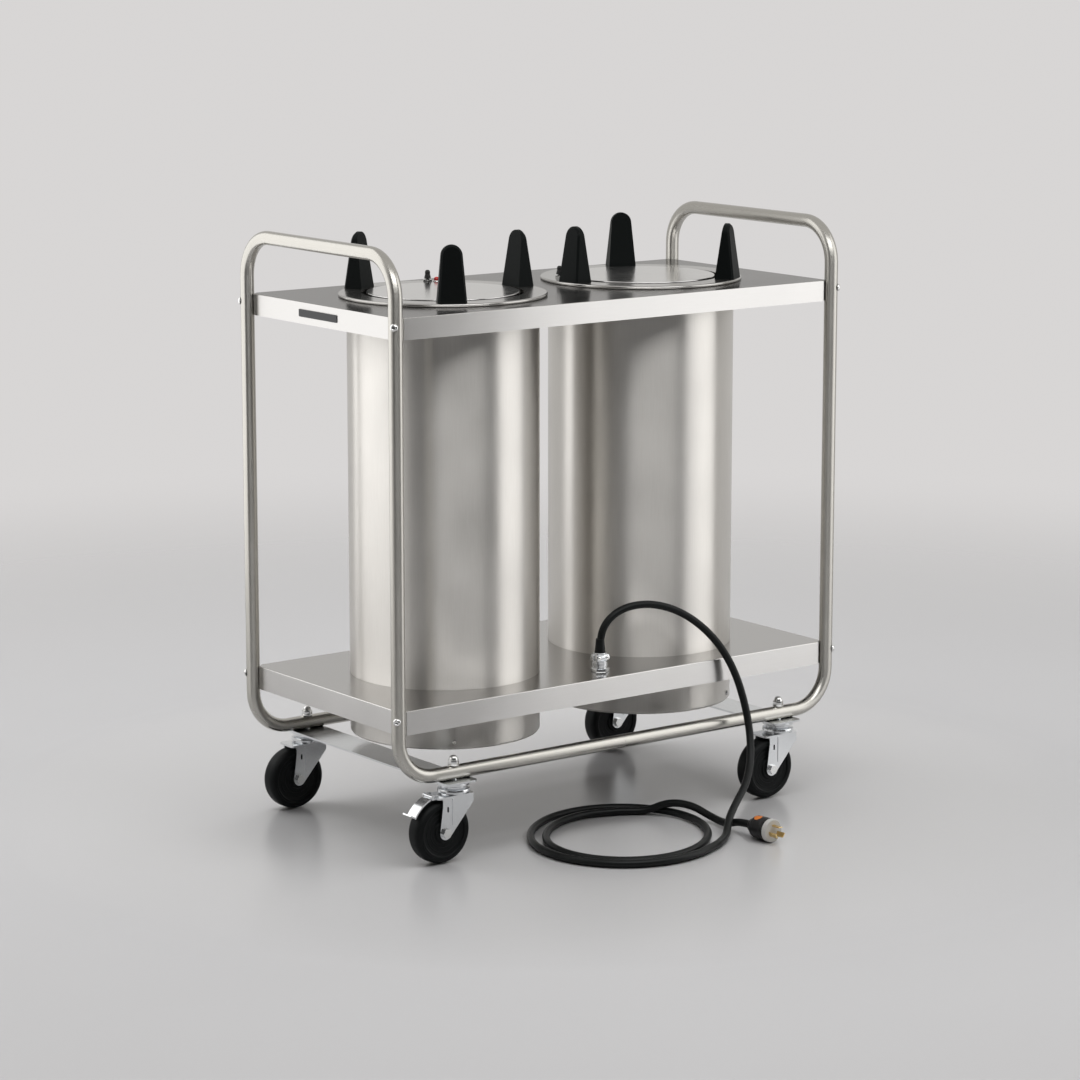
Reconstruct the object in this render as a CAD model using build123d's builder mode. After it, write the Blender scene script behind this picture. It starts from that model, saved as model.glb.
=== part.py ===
from build123d import *
import math
import os

os.makedirs("parts", exist_ok=True)

# Every size is in millimetres. The origin is on the floor, under the middle of the cart.
# +X runs along the cart to the right, -Y is the front with the cord, +Z is up.

# Driving sizes of the tube frame.
tube_diameter = 22.2
tube_wall = 1.5
bend_radius = 65.0
frame_length = 872.0  # between the axes of the left and right uprights
frame_width = 417.0  # between the axes of the front and back uprights
handle_height = 952.0  # axis of the handles above the floor
handle_rise = 93.5  # axis of the handles above the upper deck
joint_gap = 0.4  # seam in the middle of each bottom rail
sleeve_length = 60.0
sleeve_wall = 1.5
sleeve_fit = 0.05  # radial play of the sleeve in the tube

# Driving sizes of the casters and cross plates.
wheel_diameter = 101.6
wheel_width = 31.0
hub_width = 33.4
tread_crown = 9.0
caster_height = 126.2  # floor to the top of the race
caster_inset = 103.3  # swivel axis inboard of the upright
caster_trail = 28.6  # wheel axle behind the swivel axis
fork_sheet = 3.0
fork_gap = 34.0
axle_diameter = 9.5
axle_play = 0.05
stem_diameter = 10.0
stem_play = 0.3
cross_plate_width = 60.0
cross_plate_thickness = 3.0
cross_plate_overhang = 26.0
touch = 0.1  # gap left between faces that rest on each other

# Driving sizes of the decks.
deck_sheet = 1.5
upper_deck_top = handle_height - handle_rise
lower_deck_top = 249.3
upper_skirt = 34.0
lower_skirt = 38.0
skirt_return = 10.0
deck_end_inset = 4.0  # deck's end inside the axis of the uprights
deck_bend = 1.4
deck_bolt_drop = 12.0
deck_bolt_diameter = 5.0
deck_bolt_head = 12.4
deck_bolt_play = 0.3
deck_nut_size = 8.0
deck_nut_height = 4.0

# Driving sizes of the two dispensers.
column_diameter = 307.6
column_wall = 1.2
column_spacing = 401.4  # between the axes of the columns
column_bottom = 152.6
column_play = 0.4  # radial gap between a column and the holes in the decks
pan_edge = 4.0
pan_sheet = 1.2
pan_rim = 20.0
pan_fit = 0.3
pan_screw_diameter = 4.0
ring_overhang = 13.0  # how far the flange ring stands out past the column
ring_bore = 259.8
ring_rise = 5.5
ring_sheet = 1.5
ring_lip = 15.0
carrier_diameter = 244.0
carrier_rise = 1.5
carrier_depth = 30.0
carrier_sheet = 1.5
rod_circle = 284.0
rod_diameter = 6.0
bushing_diameter = 12.0
bushing_play = 0.05
arm_thickness = 3.0
arm_width = 26.0
hanger_drop = 135.0
hanger_sheet = 2.0
hanger_width = 18.0
spring_diameter = 12.0
spring_bore = 9.0
guide_height = 90.0
guide_width = 46.0
guide_top_width = 34.0
guide_depth = 32.0
guide_top_depth = 9.0
guide_bevel = 3.0
heater_circle = 200.0
heater_diameter = 8.0
heater_rise = 20.0

# How far each dispenser is turned about its own axis, and where its switch and lamp stand.
columns = {
    "left": {"side": -1, "turn": 0.0, "switch": 65.0, "lamp": 59.0},
    "right": {"side": 1, "turn": 65.0, "switch": 160.0, "lamp": 168.0},
}
switch_circle = 282.0
switch_neck = 11.8
switch_nut = 14.0
switch_nut_height = 4.0
lamp_diameter = 9.0
lamp_neck = 7.6

# Driving sizes of the cord, its grip and its plug.
cord_diameter = 12.5
floor_gap = 0.25
grip_place = (-9.5, -164.0)
grip_height = 31.7
grip_thread = 20.0
box_length = 64.0
box_width = 80.0
box_height = 33.0
box_sheet = 1.5
conduit_diameter = 11.0
conduit_bore = 8.0
coil_centre = (-43.0, -267.0)
coil_radius = 173.0
coil_step = 24.0  # the loops draw in by this much a turn
coil_oval = 13.0
coil_oval_axis = 47.0
coil_drift = (-2.0, -5.0)
coil_start = -60.0
coil_sweep = 605.0
plug_diameter = 38.0
plug_length = 42.0
plug_face_height = 8.0
blade_length = 16.0

# Sizes that follow.
tube_radius = tube_diameter / 2
half_length = frame_length / 2
half_width = frame_width / 2
plate_bottom = caster_height
rail_height = plate_bottom + cross_plate_thickness + touch + tube_radius
rail_top = rail_height + tube_radius
deck_length = 2 * (half_length - deck_end_inset)
deck_width = frame_width
seat_sum = half_length + half_width - (tube_radius + touch) * math.sqrt(2)
corner_cut = deck_length / 2 + deck_width / 2 - seat_sum
upper_bolt_height = upper_deck_top - deck_bolt_drop
lower_bolt_height = lower_deck_top - deck_bolt_drop
column_radius = column_diameter / 2
ring_diameter = column_diameter + 2 * ring_overhang
ring_top = upper_deck_top + ring_rise
ring_under = ring_top - ring_sheet
shell_bottom = column_bottom + pan_edge
shell_top = ring_under - touch
shell_bore = column_diameter - 2 * column_wall
pan_top = column_bottom + pan_sheet
pan_screw_height = shell_bottom + pan_rim / 2 - pan_edge / 2
carrier_top = ring_top + carrier_rise
carrier_bottom = carrier_top - carrier_depth
hanger_bottom = carrier_bottom - hanger_drop
wheel_radius = wheel_diameter / 2
crown_top = caster_height - 18.2
crown_bottom = crown_top - fork_sheet
caster_x = half_length - caster_inset
cord_radius = cord_diameter / 2
cord_level = cord_radius + floor_gap
grip_top = lower_deck_top + grip_height
box_top = lower_deck_top - deck_sheet - touch
box_bottom = box_top - box_height

casters = {
    "front_left": {"place": (-caster_x, -half_width), "brake": True},
    "front_right": {"place": (caster_x, -half_width), "brake": False},
    "back_left": {"place": (-caster_x, half_width), "brake": False},
    "back_right": {"place": (caster_x, half_width), "brake": True},
}


def save(part, label):
    part.label = label
    export_step(part, f"parts/{label}.step")


def tangent_point(start, centre, radius, side):
    # Point where the line from start touches a circle, on its right (side 1) or left (side -1).
    dx, dy = start[0] - centre[0], start[1] - centre[1]
    angle = math.atan2(dy, dx) + side * math.acos(radius / math.hypot(dx, dy))
    return (centre[0] + radius * math.cos(angle), centre[1] + radius * math.sin(angle))


# Corners where the uprights pass the decks, each with its outward direction.
corner_signs = [(-1, -1), (1, -1), (-1, 1), (1, 1)]


def corner_plane(signs, height):
    outward = (signs[0], signs[1], 0)
    return Plane(origin=(signs[0] * half_length, signs[1] * half_width, height), z_dir=outward)


# End frames: one bent tube each, from joint to joint of the bottom rails.
def end_frame(label, side):
    route_points = [
        (side * joint_gap / 2, -half_width, rail_height),
        (side * half_length, -half_width, rail_height),
        (side * half_length, -half_width, handle_height),
        (side * half_length, half_width, handle_height),
        (side * half_length, half_width, rail_height),
        (side * joint_gap / 2, half_width, rail_height),
    ]
    with BuildPart() as frame:
        with BuildLine() as route:
            FilletPolyline(*route_points, radius=bend_radius)
        with BuildSketch(Plane(origin=route_points[0], z_dir=(side, 0, 0))):
            Circle(tube_radius)
            Circle(tube_radius - tube_wall, mode=Mode.SUBTRACT)
        sweep(path=route.wires()[0])
        for front in (-1, 1):
            with BuildSketch(Plane.XY.offset(rail_height)):
                with Locations((side * caster_x, front * half_width)):
                    Circle(stem_diameter / 2 + stem_play)
            extrude(amount=tube_diameter, both=True, mode=Mode.SUBTRACT)
            for height in (lower_bolt_height, upper_bolt_height):
                with BuildSketch(corner_plane((side, front), height)):
                    Circle(deck_bolt_diameter / 2 + deck_bolt_play)
                extrude(amount=tube_diameter, both=True, mode=Mode.SUBTRACT)
    save(frame.part, label)


end_frame("frame_tube_left", -1)
end_frame("frame_tube_right", 1)

with BuildPart() as joint_sleeves:
    for front in (-1, 1):
        middle = Plane(origin=(-sleeve_length / 2, front * half_width, rail_height), z_dir=(1, 0, 0))
        with BuildSketch(middle):
            Circle(tube_radius - tube_wall - sleeve_fit)
            Circle(tube_radius - tube_wall - sleeve_fit - sleeve_wall, mode=Mode.SUBTRACT)
        extrude(amount=sleeve_length)
save(joint_sleeves.part, "joint_sleeves")


# Decks: folded pans with cut corners, a return along the bottom of the skirt and two round holes.
def deck_outline(inset):
    Rectangle(deck_length - 2 * inset, deck_width - 2 * inset)
    chamfer(vertices(), length=corner_cut - inset * (2 - math.sqrt(2)))


def deck(label, top, skirt, bolt_height, grip_hole):
    bottom = top - skirt
    with BuildPart() as pan:
        with BuildSketch(Plane.XY.offset(bottom)):
            Rectangle(deck_length, deck_width)
            chamfer(vertices(), length=corner_cut)
        extrude(amount=skirt)
        fillet(pan.edges().group_by(Axis.Z)[-1], radius=deck_bend)
        lip_inset = deck_sheet + skirt_return
        with BuildSketch(Plane.XY.offset(bottom)):
            Rectangle(deck_length - 2 * lip_inset, deck_width - 2 * lip_inset)
        extrude(amount=deck_sheet, mode=Mode.SUBTRACT)
        with BuildSketch(Plane.XY.offset(bottom + deck_sheet)):
            Rectangle(deck_length - 2 * deck_sheet, deck_width - 2 * deck_sheet)
            chamfer(vertices(), length=corner_cut - deck_sheet * (2 - math.sqrt(2)))
        extrude(amount=skirt - 2 * deck_sheet, mode=Mode.SUBTRACT)
        with BuildSketch(Plane.XY.offset(top)):
            with Locations((-column_spacing / 2, 0), (column_spacing / 2, 0)):
                Circle(column_radius + column_play)
            if grip_hole:
                with Locations(grip_place):
                    Circle(grip_thread / 2 + stem_play)
        extrude(amount=-2 * deck_sheet, mode=Mode.SUBTRACT)
        for signs in corner_signs:
            with BuildSketch(corner_plane(signs, bolt_height)):
                Circle(deck_bolt_diameter / 2 + deck_bolt_play)
            extrude(amount=-2 * tube_diameter, mode=Mode.SUBTRACT)
    save(pan.part, label)


deck("upper_deck", upper_deck_top, upper_skirt, upper_bolt_height, False)
deck("lower_deck", lower_deck_top, lower_skirt, lower_bolt_height, True)

# Deck bolts point out through the uprights at 45 degrees, nuts inside the deck corners.
bolt_head_height = 3.5
nut_start = -(tube_radius + 2 * touch + deck_sheet)
with BuildPart() as deck_bolts:
    for signs in corner_signs:
        for height in (lower_bolt_height, upper_bolt_height):
            corner = corner_plane(signs, height)
            shank_end = nut_start - deck_nut_height - 1.5
            with BuildSketch(corner.offset(shank_end)):
                Circle(deck_bolt_diameter / 2)
            extrude(amount=tube_radius + touch - shank_end)
            with BuildSketch(corner.offset(tube_radius + touch)):
                Circle(deck_bolt_head / 2)
            extrude(amount=bolt_head_height, taper=18)
save(deck_bolts.part, "deck_bolts")

with BuildPart() as deck_nuts:
    for signs in corner_signs:
        for height in (lower_bolt_height, upper_bolt_height):
            corner = corner_plane(signs, height)
            with BuildSketch(corner.offset(nut_start - deck_nut_height)):
                RegularPolygon(deck_nut_size / 2, 6, major_radius=False)
                Circle(deck_bolt_diameter / 2 + axle_play, mode=Mode.SUBTRACT)
            extrude(amount=deck_nut_height)
save(deck_nuts.part, "deck_nuts")

for label, side in (("cross_plate_left", -1), ("cross_plate_right", 1)):
    with BuildPart() as cross_plate:
        with BuildSketch(Plane.XY.offset(plate_bottom)):
            with Locations((side * caster_x, 0)):
                Rectangle(cross_plate_width, frame_width + 2 * cross_plate_overhang)
                fillet(vertices(), radius=8)
            for front in (-1, 1):
                with Locations((side * caster_x, front * half_width)):
                    Circle(stem_diameter / 2 + stem_play, mode=Mode.SUBTRACT)
        extrude(amount=cross_plate_thickness)
    save(cross_plate.part, label)

# A plain plate on the left skirt of the upper deck.
plate_length = 107.0
plate_height = 12.0
plate_thickness = 1.0
with BuildPart() as nameplate:
    plate_middle = (-deck_length / 2 - touch / 2, 9.6, upper_deck_top - upper_skirt / 2)
    with BuildSketch(Plane(origin=plate_middle, x_dir=(0, 1, 0), z_dir=(-1, 0, 0))):
        RectangleRounded(plate_length, plate_height, 2)
    extrude(amount=plate_thickness)
save(nameplate.part, "nameplate")


# Dispensers. Guides, screws and springs share one set of angles, the rods stand between them.
def column_axis(column):
    return column["side"] * column_spacing / 2


screw_head = 2.5
conduit_y = grip_place[1] + 46.0
conduit_z = box_bottom + box_height / 2
for name, column in columns.items():
    centre = column_axis(column)
    side = column["side"]
    with BuildPart() as shell:
        with BuildSketch(Plane.XY.offset(shell_bottom)):
            with Locations((centre, 0)):
                Circle(column_radius)
                Circle(shell_bore / 2, mode=Mode.SUBTRACT)
        extrude(amount=shell_top - shell_bottom)
        for step in range(3):
            angle = math.radians(column["turn"] + 120 * step)
            facing = (math.cos(angle), math.sin(angle), 0)
            with BuildSketch(Plane(origin=(centre, 0, pan_screw_height), z_dir=facing)):
                Circle(pan_screw_diameter / 2 + axle_play)
            extrude(amount=column_radius + 1, mode=Mode.SUBTRACT)
        with BuildSketch(Plane(origin=(centre, conduit_y, conduit_z), z_dir=(-side, 0, 0))):
            Circle(conduit_diameter / 2 + stem_play)
        extrude(amount=column_radius, mode=Mode.SUBTRACT)
    save(shell.part, f"column_shell_{name}")

    rim_radius = shell_bore / 2 - pan_fit
    with BuildPart() as base_pan:
        with BuildSketch(Plane.XY.offset(column_bottom)):
            with Locations((centre, 0)):
                Circle(column_radius)
        extrude(amount=pan_edge - touch)
        fillet(base_pan.edges().group_by(Axis.Z)[0], radius=pan_edge - 0.6)
        with BuildSketch(Plane.XY.offset(column_bottom)):
            with Locations((centre, 0)):
                Circle(rim_radius)
        extrude(amount=pan_rim)
        with BuildSketch(Plane.XY.offset(pan_top)):
            with Locations((centre, 0)):
                Circle(rim_radius - pan_sheet)
        extrude(amount=pan_rim, mode=Mode.SUBTRACT)
        for step in range(3):
            angle = math.radians(column["turn"] + 120 * step)
            facing = (math.cos(angle), math.sin(angle), 0)
            with BuildSketch(Plane(origin=(centre, 0, pan_screw_height), z_dir=facing)):
                Circle(pan_screw_diameter / 2 + axle_play)
            extrude(amount=column_radius + 1, mode=Mode.SUBTRACT)
    save(base_pan.part, f"base_pan_{name}")

    collar_radius = shell_bore / 2 - pan_fit
    with BuildPart() as flange_ring:
        bead = ring_rise / 2 - touch / 2
        with BuildSketch(Plane(origin=(centre, 0, 0), x_dir=(1, 0, 0), z_dir=(0, -1, 0))):
            with BuildLine():
                Polyline(
                    (ring_bore / 2, ring_top), (ring_diameter / 2 - bead, ring_top),
                    (ring_diameter / 2 - bead, ring_under), (ring_bore / 2, ring_under),
                    close=True,
                )
            make_face()
            with Locations((ring_diameter / 2 - bead, ring_top - bead)):
                Circle(bead)
            with Locations((ring_bore / 2 + ring_sheet / 2, ring_top - ring_lip / 2)):
                RectangleRounded(ring_sheet, ring_lip, 0.6)
            with Locations((collar_radius - ring_sheet / 2, ring_under - ring_lip / 2)):
                Rectangle(ring_sheet, ring_lip)
        revolve(axis=Axis((centre, 0, 0), (0, 0, 1)))
        with BuildSketch(Plane.XY.offset(ring_top)):
            with Locations((centre, 0)):
                for key, size in (("switch", switch_neck), ("lamp", lamp_neck)):
                    with PolarLocations(switch_circle / 2, 1, start_angle=column[key]):
                        Circle(size / 2 + touch)
        extrude(amount=-2 * ring_sheet, mode=Mode.SUBTRACT)
    save(flange_ring.part, f"flange_ring_{name}")

# Plate guide: a wedge with a full round top, bevelled on its outer face. Radially outward is +X.
top_radius = guide_top_width / 2
top_centre = (0, guide_height - top_radius)
right_touch = tangent_point((guide_width / 2, 0), top_centre, top_radius, 1)
left_touch = (-right_touch[0], right_touch[1])
with BuildPart() as guide:
    with BuildSketch(Plane(origin=(-guide_depth / 2, 0, 0), x_dir=(0, 1, 0), z_dir=(1, 0, 0))):
        with BuildLine():
            Polyline(left_touch, (-guide_width / 2, 0), (guide_width / 2, 0), right_touch)
            ThreePointArc(right_touch, (0, guide_height), left_touch)
        make_face()
    extrude(amount=guide_depth)
    with BuildSketch(Plane(origin=(0, guide_width / 2, 0), x_dir=(-1, 0, 0), z_dir=(0, 1, 0))):
        with BuildLine():
            Polyline(
                (guide_depth / 2, 0), (-guide_depth / 2, 0),
                (-guide_top_depth / 2, guide_height), (guide_top_depth / 2, guide_height),
                close=True,
            )
        make_face()
    extrude(amount=-guide_width, mode=Mode.INTERSECT)
    outer_face = guide.faces().sort_by(Axis.X)[-1]
    chamfer([edge for edge in outer_face.edges() if edge.center().Z > 1], length=guide_bevel)

guide_circle = (ring_bore / 2 + ring_diameter / 2) / 2 + 0.5
for name, column in columns.items():
    with BuildPart() as plate_guides:
        with Locations((column_axis(column), 0, ring_top + touch)):
            with PolarLocations(guide_circle, 3, start_angle=column["turn"]):
                add(guide.part)
    save(plate_guides.part, f"plate_guides_{name}")

# Pan screws point inwards through the shell into the rim of the base pan.
with BuildPart() as pan_screw:
    with BuildSketch(Plane(origin=(column_radius + touch, 0, pan_screw_height), z_dir=(1, 0, 0))):
        Circle(pan_screw_diameter)
    extrude(amount=screw_head, taper=25)
    with BuildSketch(Plane(origin=(column_radius + touch, 0, pan_screw_height), z_dir=(-1, 0, 0))):
        Circle(pan_screw_diameter / 2)
    extrude(amount=3 * column_wall + screw_head)

with BuildPart() as pan_screws:
    for column in columns.values():
        with Locations((column_axis(column), 0, 0)):
            with PolarLocations(0, 3, start_angle=column["turn"]):
                add(pan_screw.part)
save(pan_screws.part, "pan_screws")

rod_turn = 30.0
with BuildPart() as guide_rods:
    for column in columns.values():
        with BuildSketch(Plane.XY.offset(pan_top + touch)):
            with Locations((column_axis(column), 0)):
                with PolarLocations(rod_circle / 2, 3, start_angle=column["turn"] + rod_turn):
                    Circle(rod_diameter / 2)
        extrude(amount=ring_under - pan_top - 2 * touch)
save(guide_rods.part, "guide_rods")

# Tube heaters: a ring over each base pan on four short legs.
heater_level = pan_top + heater_rise
heater_leg = 5.0
with BuildPart() as heaters:
    for column in columns.values():
        centre = column_axis(column)
        with BuildSketch(Plane(origin=(centre, 0, heater_level), x_dir=(1, 0, 0), z_dir=(0, -1, 0))):
            with Locations((heater_circle / 2, 0)):
                Circle(heater_diameter / 2)
        revolve(axis=Axis((centre, 0, 0), (0, 0, 1)))
        with BuildSketch(Plane(origin=(centre, 0, pan_top + touch))):
            with PolarLocations(heater_circle / 2, 4, start_angle=45):
                Circle(heater_leg / 2)
        extrude(amount=heater_rise - touch)
save(heaters.part, "heaters")

thermostat_size = (34.0, 22.0, 16.0)
bulb_length = 60.0
bulb_diameter = 7.0
with BuildPart() as thermostats:
    for column in columns.values():
        centre = column_axis(column)
        with BuildSketch(Plane(origin=(centre, 0, pan_top + touch))):
            Rectangle(thermostat_size[0], thermostat_size[1])
            fillet(vertices(), radius=2)
        extrude(amount=thermostat_size[2])
        with BuildSketch(Plane(origin=(centre, 0, pan_top + touch + thermostat_size[2]))):
            Circle(bulb_diameter / 2)
        extrude(amount=bulb_length)
save(thermostats.part, "thermostats")

# Switch bodies hang in the rings, with a round nut above and a box below.
lever_bore = 9.2
lever_bore_depth = 7.0
switch_box = (16.0, 19.0, 26.0)
with BuildPart() as switch_bodies:
    for column in columns.values():
        angle = math.radians(column["switch"])
        x = column_axis(column) + switch_circle / 2 * math.cos(angle)
        y = switch_circle / 2 * math.sin(angle)
        outward = (math.cos(angle), math.sin(angle), 0)
        with BuildSketch(Plane(origin=(x, y, ring_under - touch), x_dir=outward, z_dir=(0, 0, -1))):
            Rectangle(switch_box[0], switch_box[1])
        extrude(amount=switch_box[2])
        with BuildSketch(Plane(origin=(x, y, ring_under - touch))):
            Circle(switch_neck / 2)
        extrude(amount=ring_sheet + 2 * touch + switch_nut_height)
        with BuildSketch(Plane(origin=(x, y, ring_top + touch))):
            RegularPolygon(switch_nut / 2, 6, major_radius=False)
        extrude(amount=switch_nut_height)
        with BuildSketch(Plane(origin=(x, y, ring_top + touch + switch_nut_height), z_dir=(0, 0, -1))):
            Circle(lever_bore / 2)
        extrude(amount=lever_bore_depth, mode=Mode.SUBTRACT)
save(switch_bodies.part, "switch_bodies")

# Lamps: a lens dome on a neck through the ring.
lens_height = 8.0
lamp_depth = 18.0
with BuildPart() as pilot_lamps:
    for column in columns.values():
        angle = math.radians(column["lamp"])
        x = column_axis(column) + switch_circle / 2 * math.cos(angle)
        y = switch_circle / 2 * math.sin(angle)
        with BuildSketch(Plane(origin=(x, y, ring_top + touch))):
            Circle(lamp_diameter / 2)
        extrude(amount=lens_height)
        fillet(pilot_lamps.edges().group_by(Axis.Z)[-1], radius=lamp_diameter / 2 - 0.6)
        with BuildSketch(Plane(origin=(x, y, ring_top + touch), z_dir=(0, 0, -1))):
            Circle(lamp_neck / 2)
        extrude(amount=lamp_depth)
save(pilot_lamps.part, "pilot_lamps")

# Booted levers, each tilting on a cross pin inside its switch's bore.
lever_pin_diameter = 3.0
lever_pin_length = 7.8
lever_pin_rise = 2.2
lever_foot_rise = 0.9
boot_lift = 1.6
boot_radius = 5.6
boot_height = 14.0
knob_radius = 4.2
stub_radius = 2.2
nut_top = ring_top + touch + switch_nut_height
for name, column in columns.items():
    angle = math.radians(column["switch"])
    x = column_axis(column) + switch_circle / 2 * math.cos(angle)
    y = switch_circle / 2 * math.sin(angle)
    with BuildPart() as lever:
        with BuildSketch(Plane(origin=(x, y, 0), x_dir=(1, 0, 0), z_dir=(0, -1, 0))):
            with BuildLine():
                base = nut_top + boot_lift
                foot = nut_top - lever_bore_depth + lever_foot_rise
                Polyline(
                    (0, foot), (stub_radius, foot),
                    (stub_radius, base), (boot_radius, base), (knob_radius, base + boot_height / 2),
                    (knob_radius, base + boot_height - knob_radius),
                )
                ThreePointArc(
                    (knob_radius, base + boot_height - knob_radius),
                    (knob_radius * math.sqrt(0.5), base + boot_height - knob_radius * (1 - math.sqrt(0.5))),
                    (0, base + boot_height),
                )
                Line((0, base + boot_height), (0, foot))
            make_face()
        revolve(axis=Axis((x, y, 0), (0, 0, 1)))
        along = (-math.sin(angle), math.cos(angle), 0)
        pin_end = (
            x - lever_pin_length / 2 * along[0],
            y - lever_pin_length / 2 * along[1],
            nut_top - lever_bore_depth + lever_pin_rise,
        )
        with BuildSketch(Plane(origin=pin_end, z_dir=along)):
            Circle(lever_pin_diameter / 2)
        extrude(amount=lever_pin_length)
    save(lever.part, f"switch_lever_{name}")


# Carriers: a shallow inverted cup, three arms for the bushings and three hangers for the springs.
rod_radius = rod_circle / 2
arm_end = rod_radius + bushing_diameter / 2 + 1.5
hanger_radius = ring_bore / 2 + ring_sheet + 1.6
cup_radius = carrier_diameter / 2


def outward_plane(centre, turn, height):
    # A level plane on the column's axis whose x points outward at the given turn.
    facing = math.radians(turn)
    return Plane(origin=(centre, 0, height), x_dir=(math.cos(facing), math.sin(facing), 0))


for name, column in columns.items():
    centre = column_axis(column)
    with BuildPart() as carrier:
        with BuildSketch(Plane.XY.offset(carrier_bottom)):
            with Locations((centre, 0)):
                Circle(cup_radius)
        extrude(amount=carrier_depth)
        fillet(carrier.edges().group_by(Axis.Z)[-1], radius=1.4)
        with BuildSketch(Plane.XY.offset(carrier_bottom)):
            with Locations((centre, 0)):
                Circle(cup_radius - carrier_sheet)
        extrude(amount=carrier_depth - carrier_sheet, mode=Mode.SUBTRACT)
        strap_end = hanger_radius + hanger_sheet
        foot_end = rod_radius + spring_diameter / 2 + 1
        strap_height = carrier_bottom + arm_thickness - hanger_bottom
        for step in range(3):
            turn = column["turn"] + 120 * step
            with BuildSketch(outward_plane(centre, turn + rod_turn, carrier_bottom)):
                with Locations(((cup_radius - 3 + arm_end) / 2, 0)):
                    Rectangle(arm_end - cup_radius + 3, arm_width)
            extrude(amount=arm_thickness)
            with BuildSketch(outward_plane(centre, turn, carrier_bottom)):
                with Locations(((cup_radius - 3 + strap_end) / 2, 0)):
                    Rectangle(strap_end - cup_radius + 3, hanger_width)
            extrude(amount=arm_thickness)
            with BuildSketch(outward_plane(centre, turn, hanger_bottom)):
                with Locations(((hanger_radius + strap_end) / 2, 0)):
                    Rectangle(hanger_sheet, hanger_width)
            extrude(amount=strap_height)
            with BuildSketch(outward_plane(centre, turn, hanger_bottom)):
                with Locations(((hanger_radius + foot_end) / 2, 0)):
                    Rectangle(foot_end - hanger_radius, hanger_width)
            extrude(amount=hanger_sheet)
        with BuildSketch(Plane.XY.offset(carrier_bottom)):
            with Locations((centre, 0)):
                with PolarLocations(rod_radius, 3, start_angle=column["turn"] + rod_turn):
                    Circle(bushing_diameter / 2 + bushing_play)
        extrude(amount=arm_thickness, mode=Mode.SUBTRACT)
    save(carrier.part, f"carrier_{name}")

    with BuildPart() as bushings:
        with BuildSketch(Plane.XY.offset(carrier_bottom - 4)):
            with Locations((centre, 0)):
                with PolarLocations(rod_radius, 3, start_angle=column["turn"] + rod_turn):
                    Circle(bushing_diameter / 2)
                    Circle(rod_diameter / 2 + bushing_play, mode=Mode.SUBTRACT)
        extrude(amount=ring_under - 3 * touch - (carrier_bottom - 4))
    save(bushings.part, f"carrier_bushings_{name}")

    with BuildPart() as springs:
        spring_foot = hanger_bottom + hanger_sheet + touch
        with BuildSketch(Plane.XY.offset(spring_foot)):
            with Locations((centre, 0)):
                with PolarLocations(rod_radius, 3, start_angle=column["turn"]):
                    Circle(spring_diameter / 2)
                    Circle(spring_bore / 2, mode=Mode.SUBTRACT)
        extrude(amount=ring_under - touch - spring_foot)
    save(springs.part, f"carrier_springs_{name}")

# Junction box under the lower deck, its cover and the two conduits.
with BuildPart() as junction_box:
    with BuildSketch(Plane(origin=(grip_place[0], conduit_y - 32, box_bottom))):
        Rectangle(box_length, box_width)
        fillet(vertices(), radius=3)
    extrude(amount=box_height)
    with BuildSketch(Plane(origin=(grip_place[0], conduit_y - 32, box_bottom))):
        Rectangle(box_length - 2 * box_sheet, box_width - 2 * box_sheet)
    extrude(amount=box_height - box_sheet, mode=Mode.SUBTRACT)
    with BuildSketch(Plane(origin=(grip_place[0], grip_place[1], box_top))):
        Circle(grip_thread / 2 + stem_play)
    extrude(amount=-2 * box_sheet, mode=Mode.SUBTRACT)
save(junction_box.part, "junction_box")

with BuildPart() as junction_cover:
    cover_middle = (grip_place[0], conduit_y - 32, box_bottom - touch - box_sheet)
    with BuildSketch(Plane(origin=cover_middle)):
        Rectangle(box_length, box_width)
        fillet(vertices(), radius=3)
    extrude(amount=box_sheet)
save(junction_cover.part, "junction_cover")

conduit_inside = 8.0
wall_reach = math.sqrt(column_radius**2 - conduit_y**2)
conduit_end = column_spacing / 2 - wall_reach + conduit_inside
with BuildPart() as conduits:
    for side in (-1, 1):
        start = grip_place[0] + side * (box_length / 2 + touch)
        with BuildSketch(Plane(origin=(start, conduit_y, conduit_z), z_dir=(side, 0, 0))):
            Circle(conduit_diameter / 2)
            Circle(conduit_bore / 2, mode=Mode.SUBTRACT)
        extrude(amount=conduit_end - side * start)
save(conduits.part, "conduits")

# Cord grip: thread, hexagon, barrel and a clamp block that two screws close.
grip_hex = 27.0
grip_hex_height = 5.0
clamp_size = (26.0, 20.0, 13.0)
grip_plane = Plane(origin=(grip_place[0], grip_place[1], lower_deck_top + touch))
clamp_screw_diameter = 4.0
clamp_screw_offset = 9.6
clamp_bottom = grip_top - clamp_size[2]
with BuildPart() as cord_grip:
    with BuildSketch(grip_plane):
        RegularPolygon(grip_hex / 2, 6, major_radius=False)
    extrude(amount=grip_hex_height)
    with BuildSketch(grip_plane):
        Circle(grip_thread / 2)
    extrude(amount=-(deck_sheet + box_sheet + 10))
    with BuildSketch(grip_plane):
        Circle(grip_thread / 2 + 1.5)
    extrude(amount=grip_height - 4)
    with BuildSketch(grip_plane.offset(clamp_bottom - lower_deck_top - touch)):
        Rectangle(clamp_size[0], clamp_size[1])
        fillet(vertices(), radius=4)
    extrude(amount=clamp_size[2])
    for side in (-1, 1):
        hole_start = (
            grip_place[0] + side * clamp_screw_offset,
            grip_place[1] - clamp_size[1] / 2,
            clamp_bottom + clamp_size[2] / 2,
        )
        with BuildSketch(Plane(origin=hole_start, z_dir=(0, 1, 0))):
            Circle(clamp_screw_diameter / 2 + axle_play)
        extrude(amount=clamp_size[1] - 3, mode=Mode.SUBTRACT)
save(cord_grip.part, "cord_grip")

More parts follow.
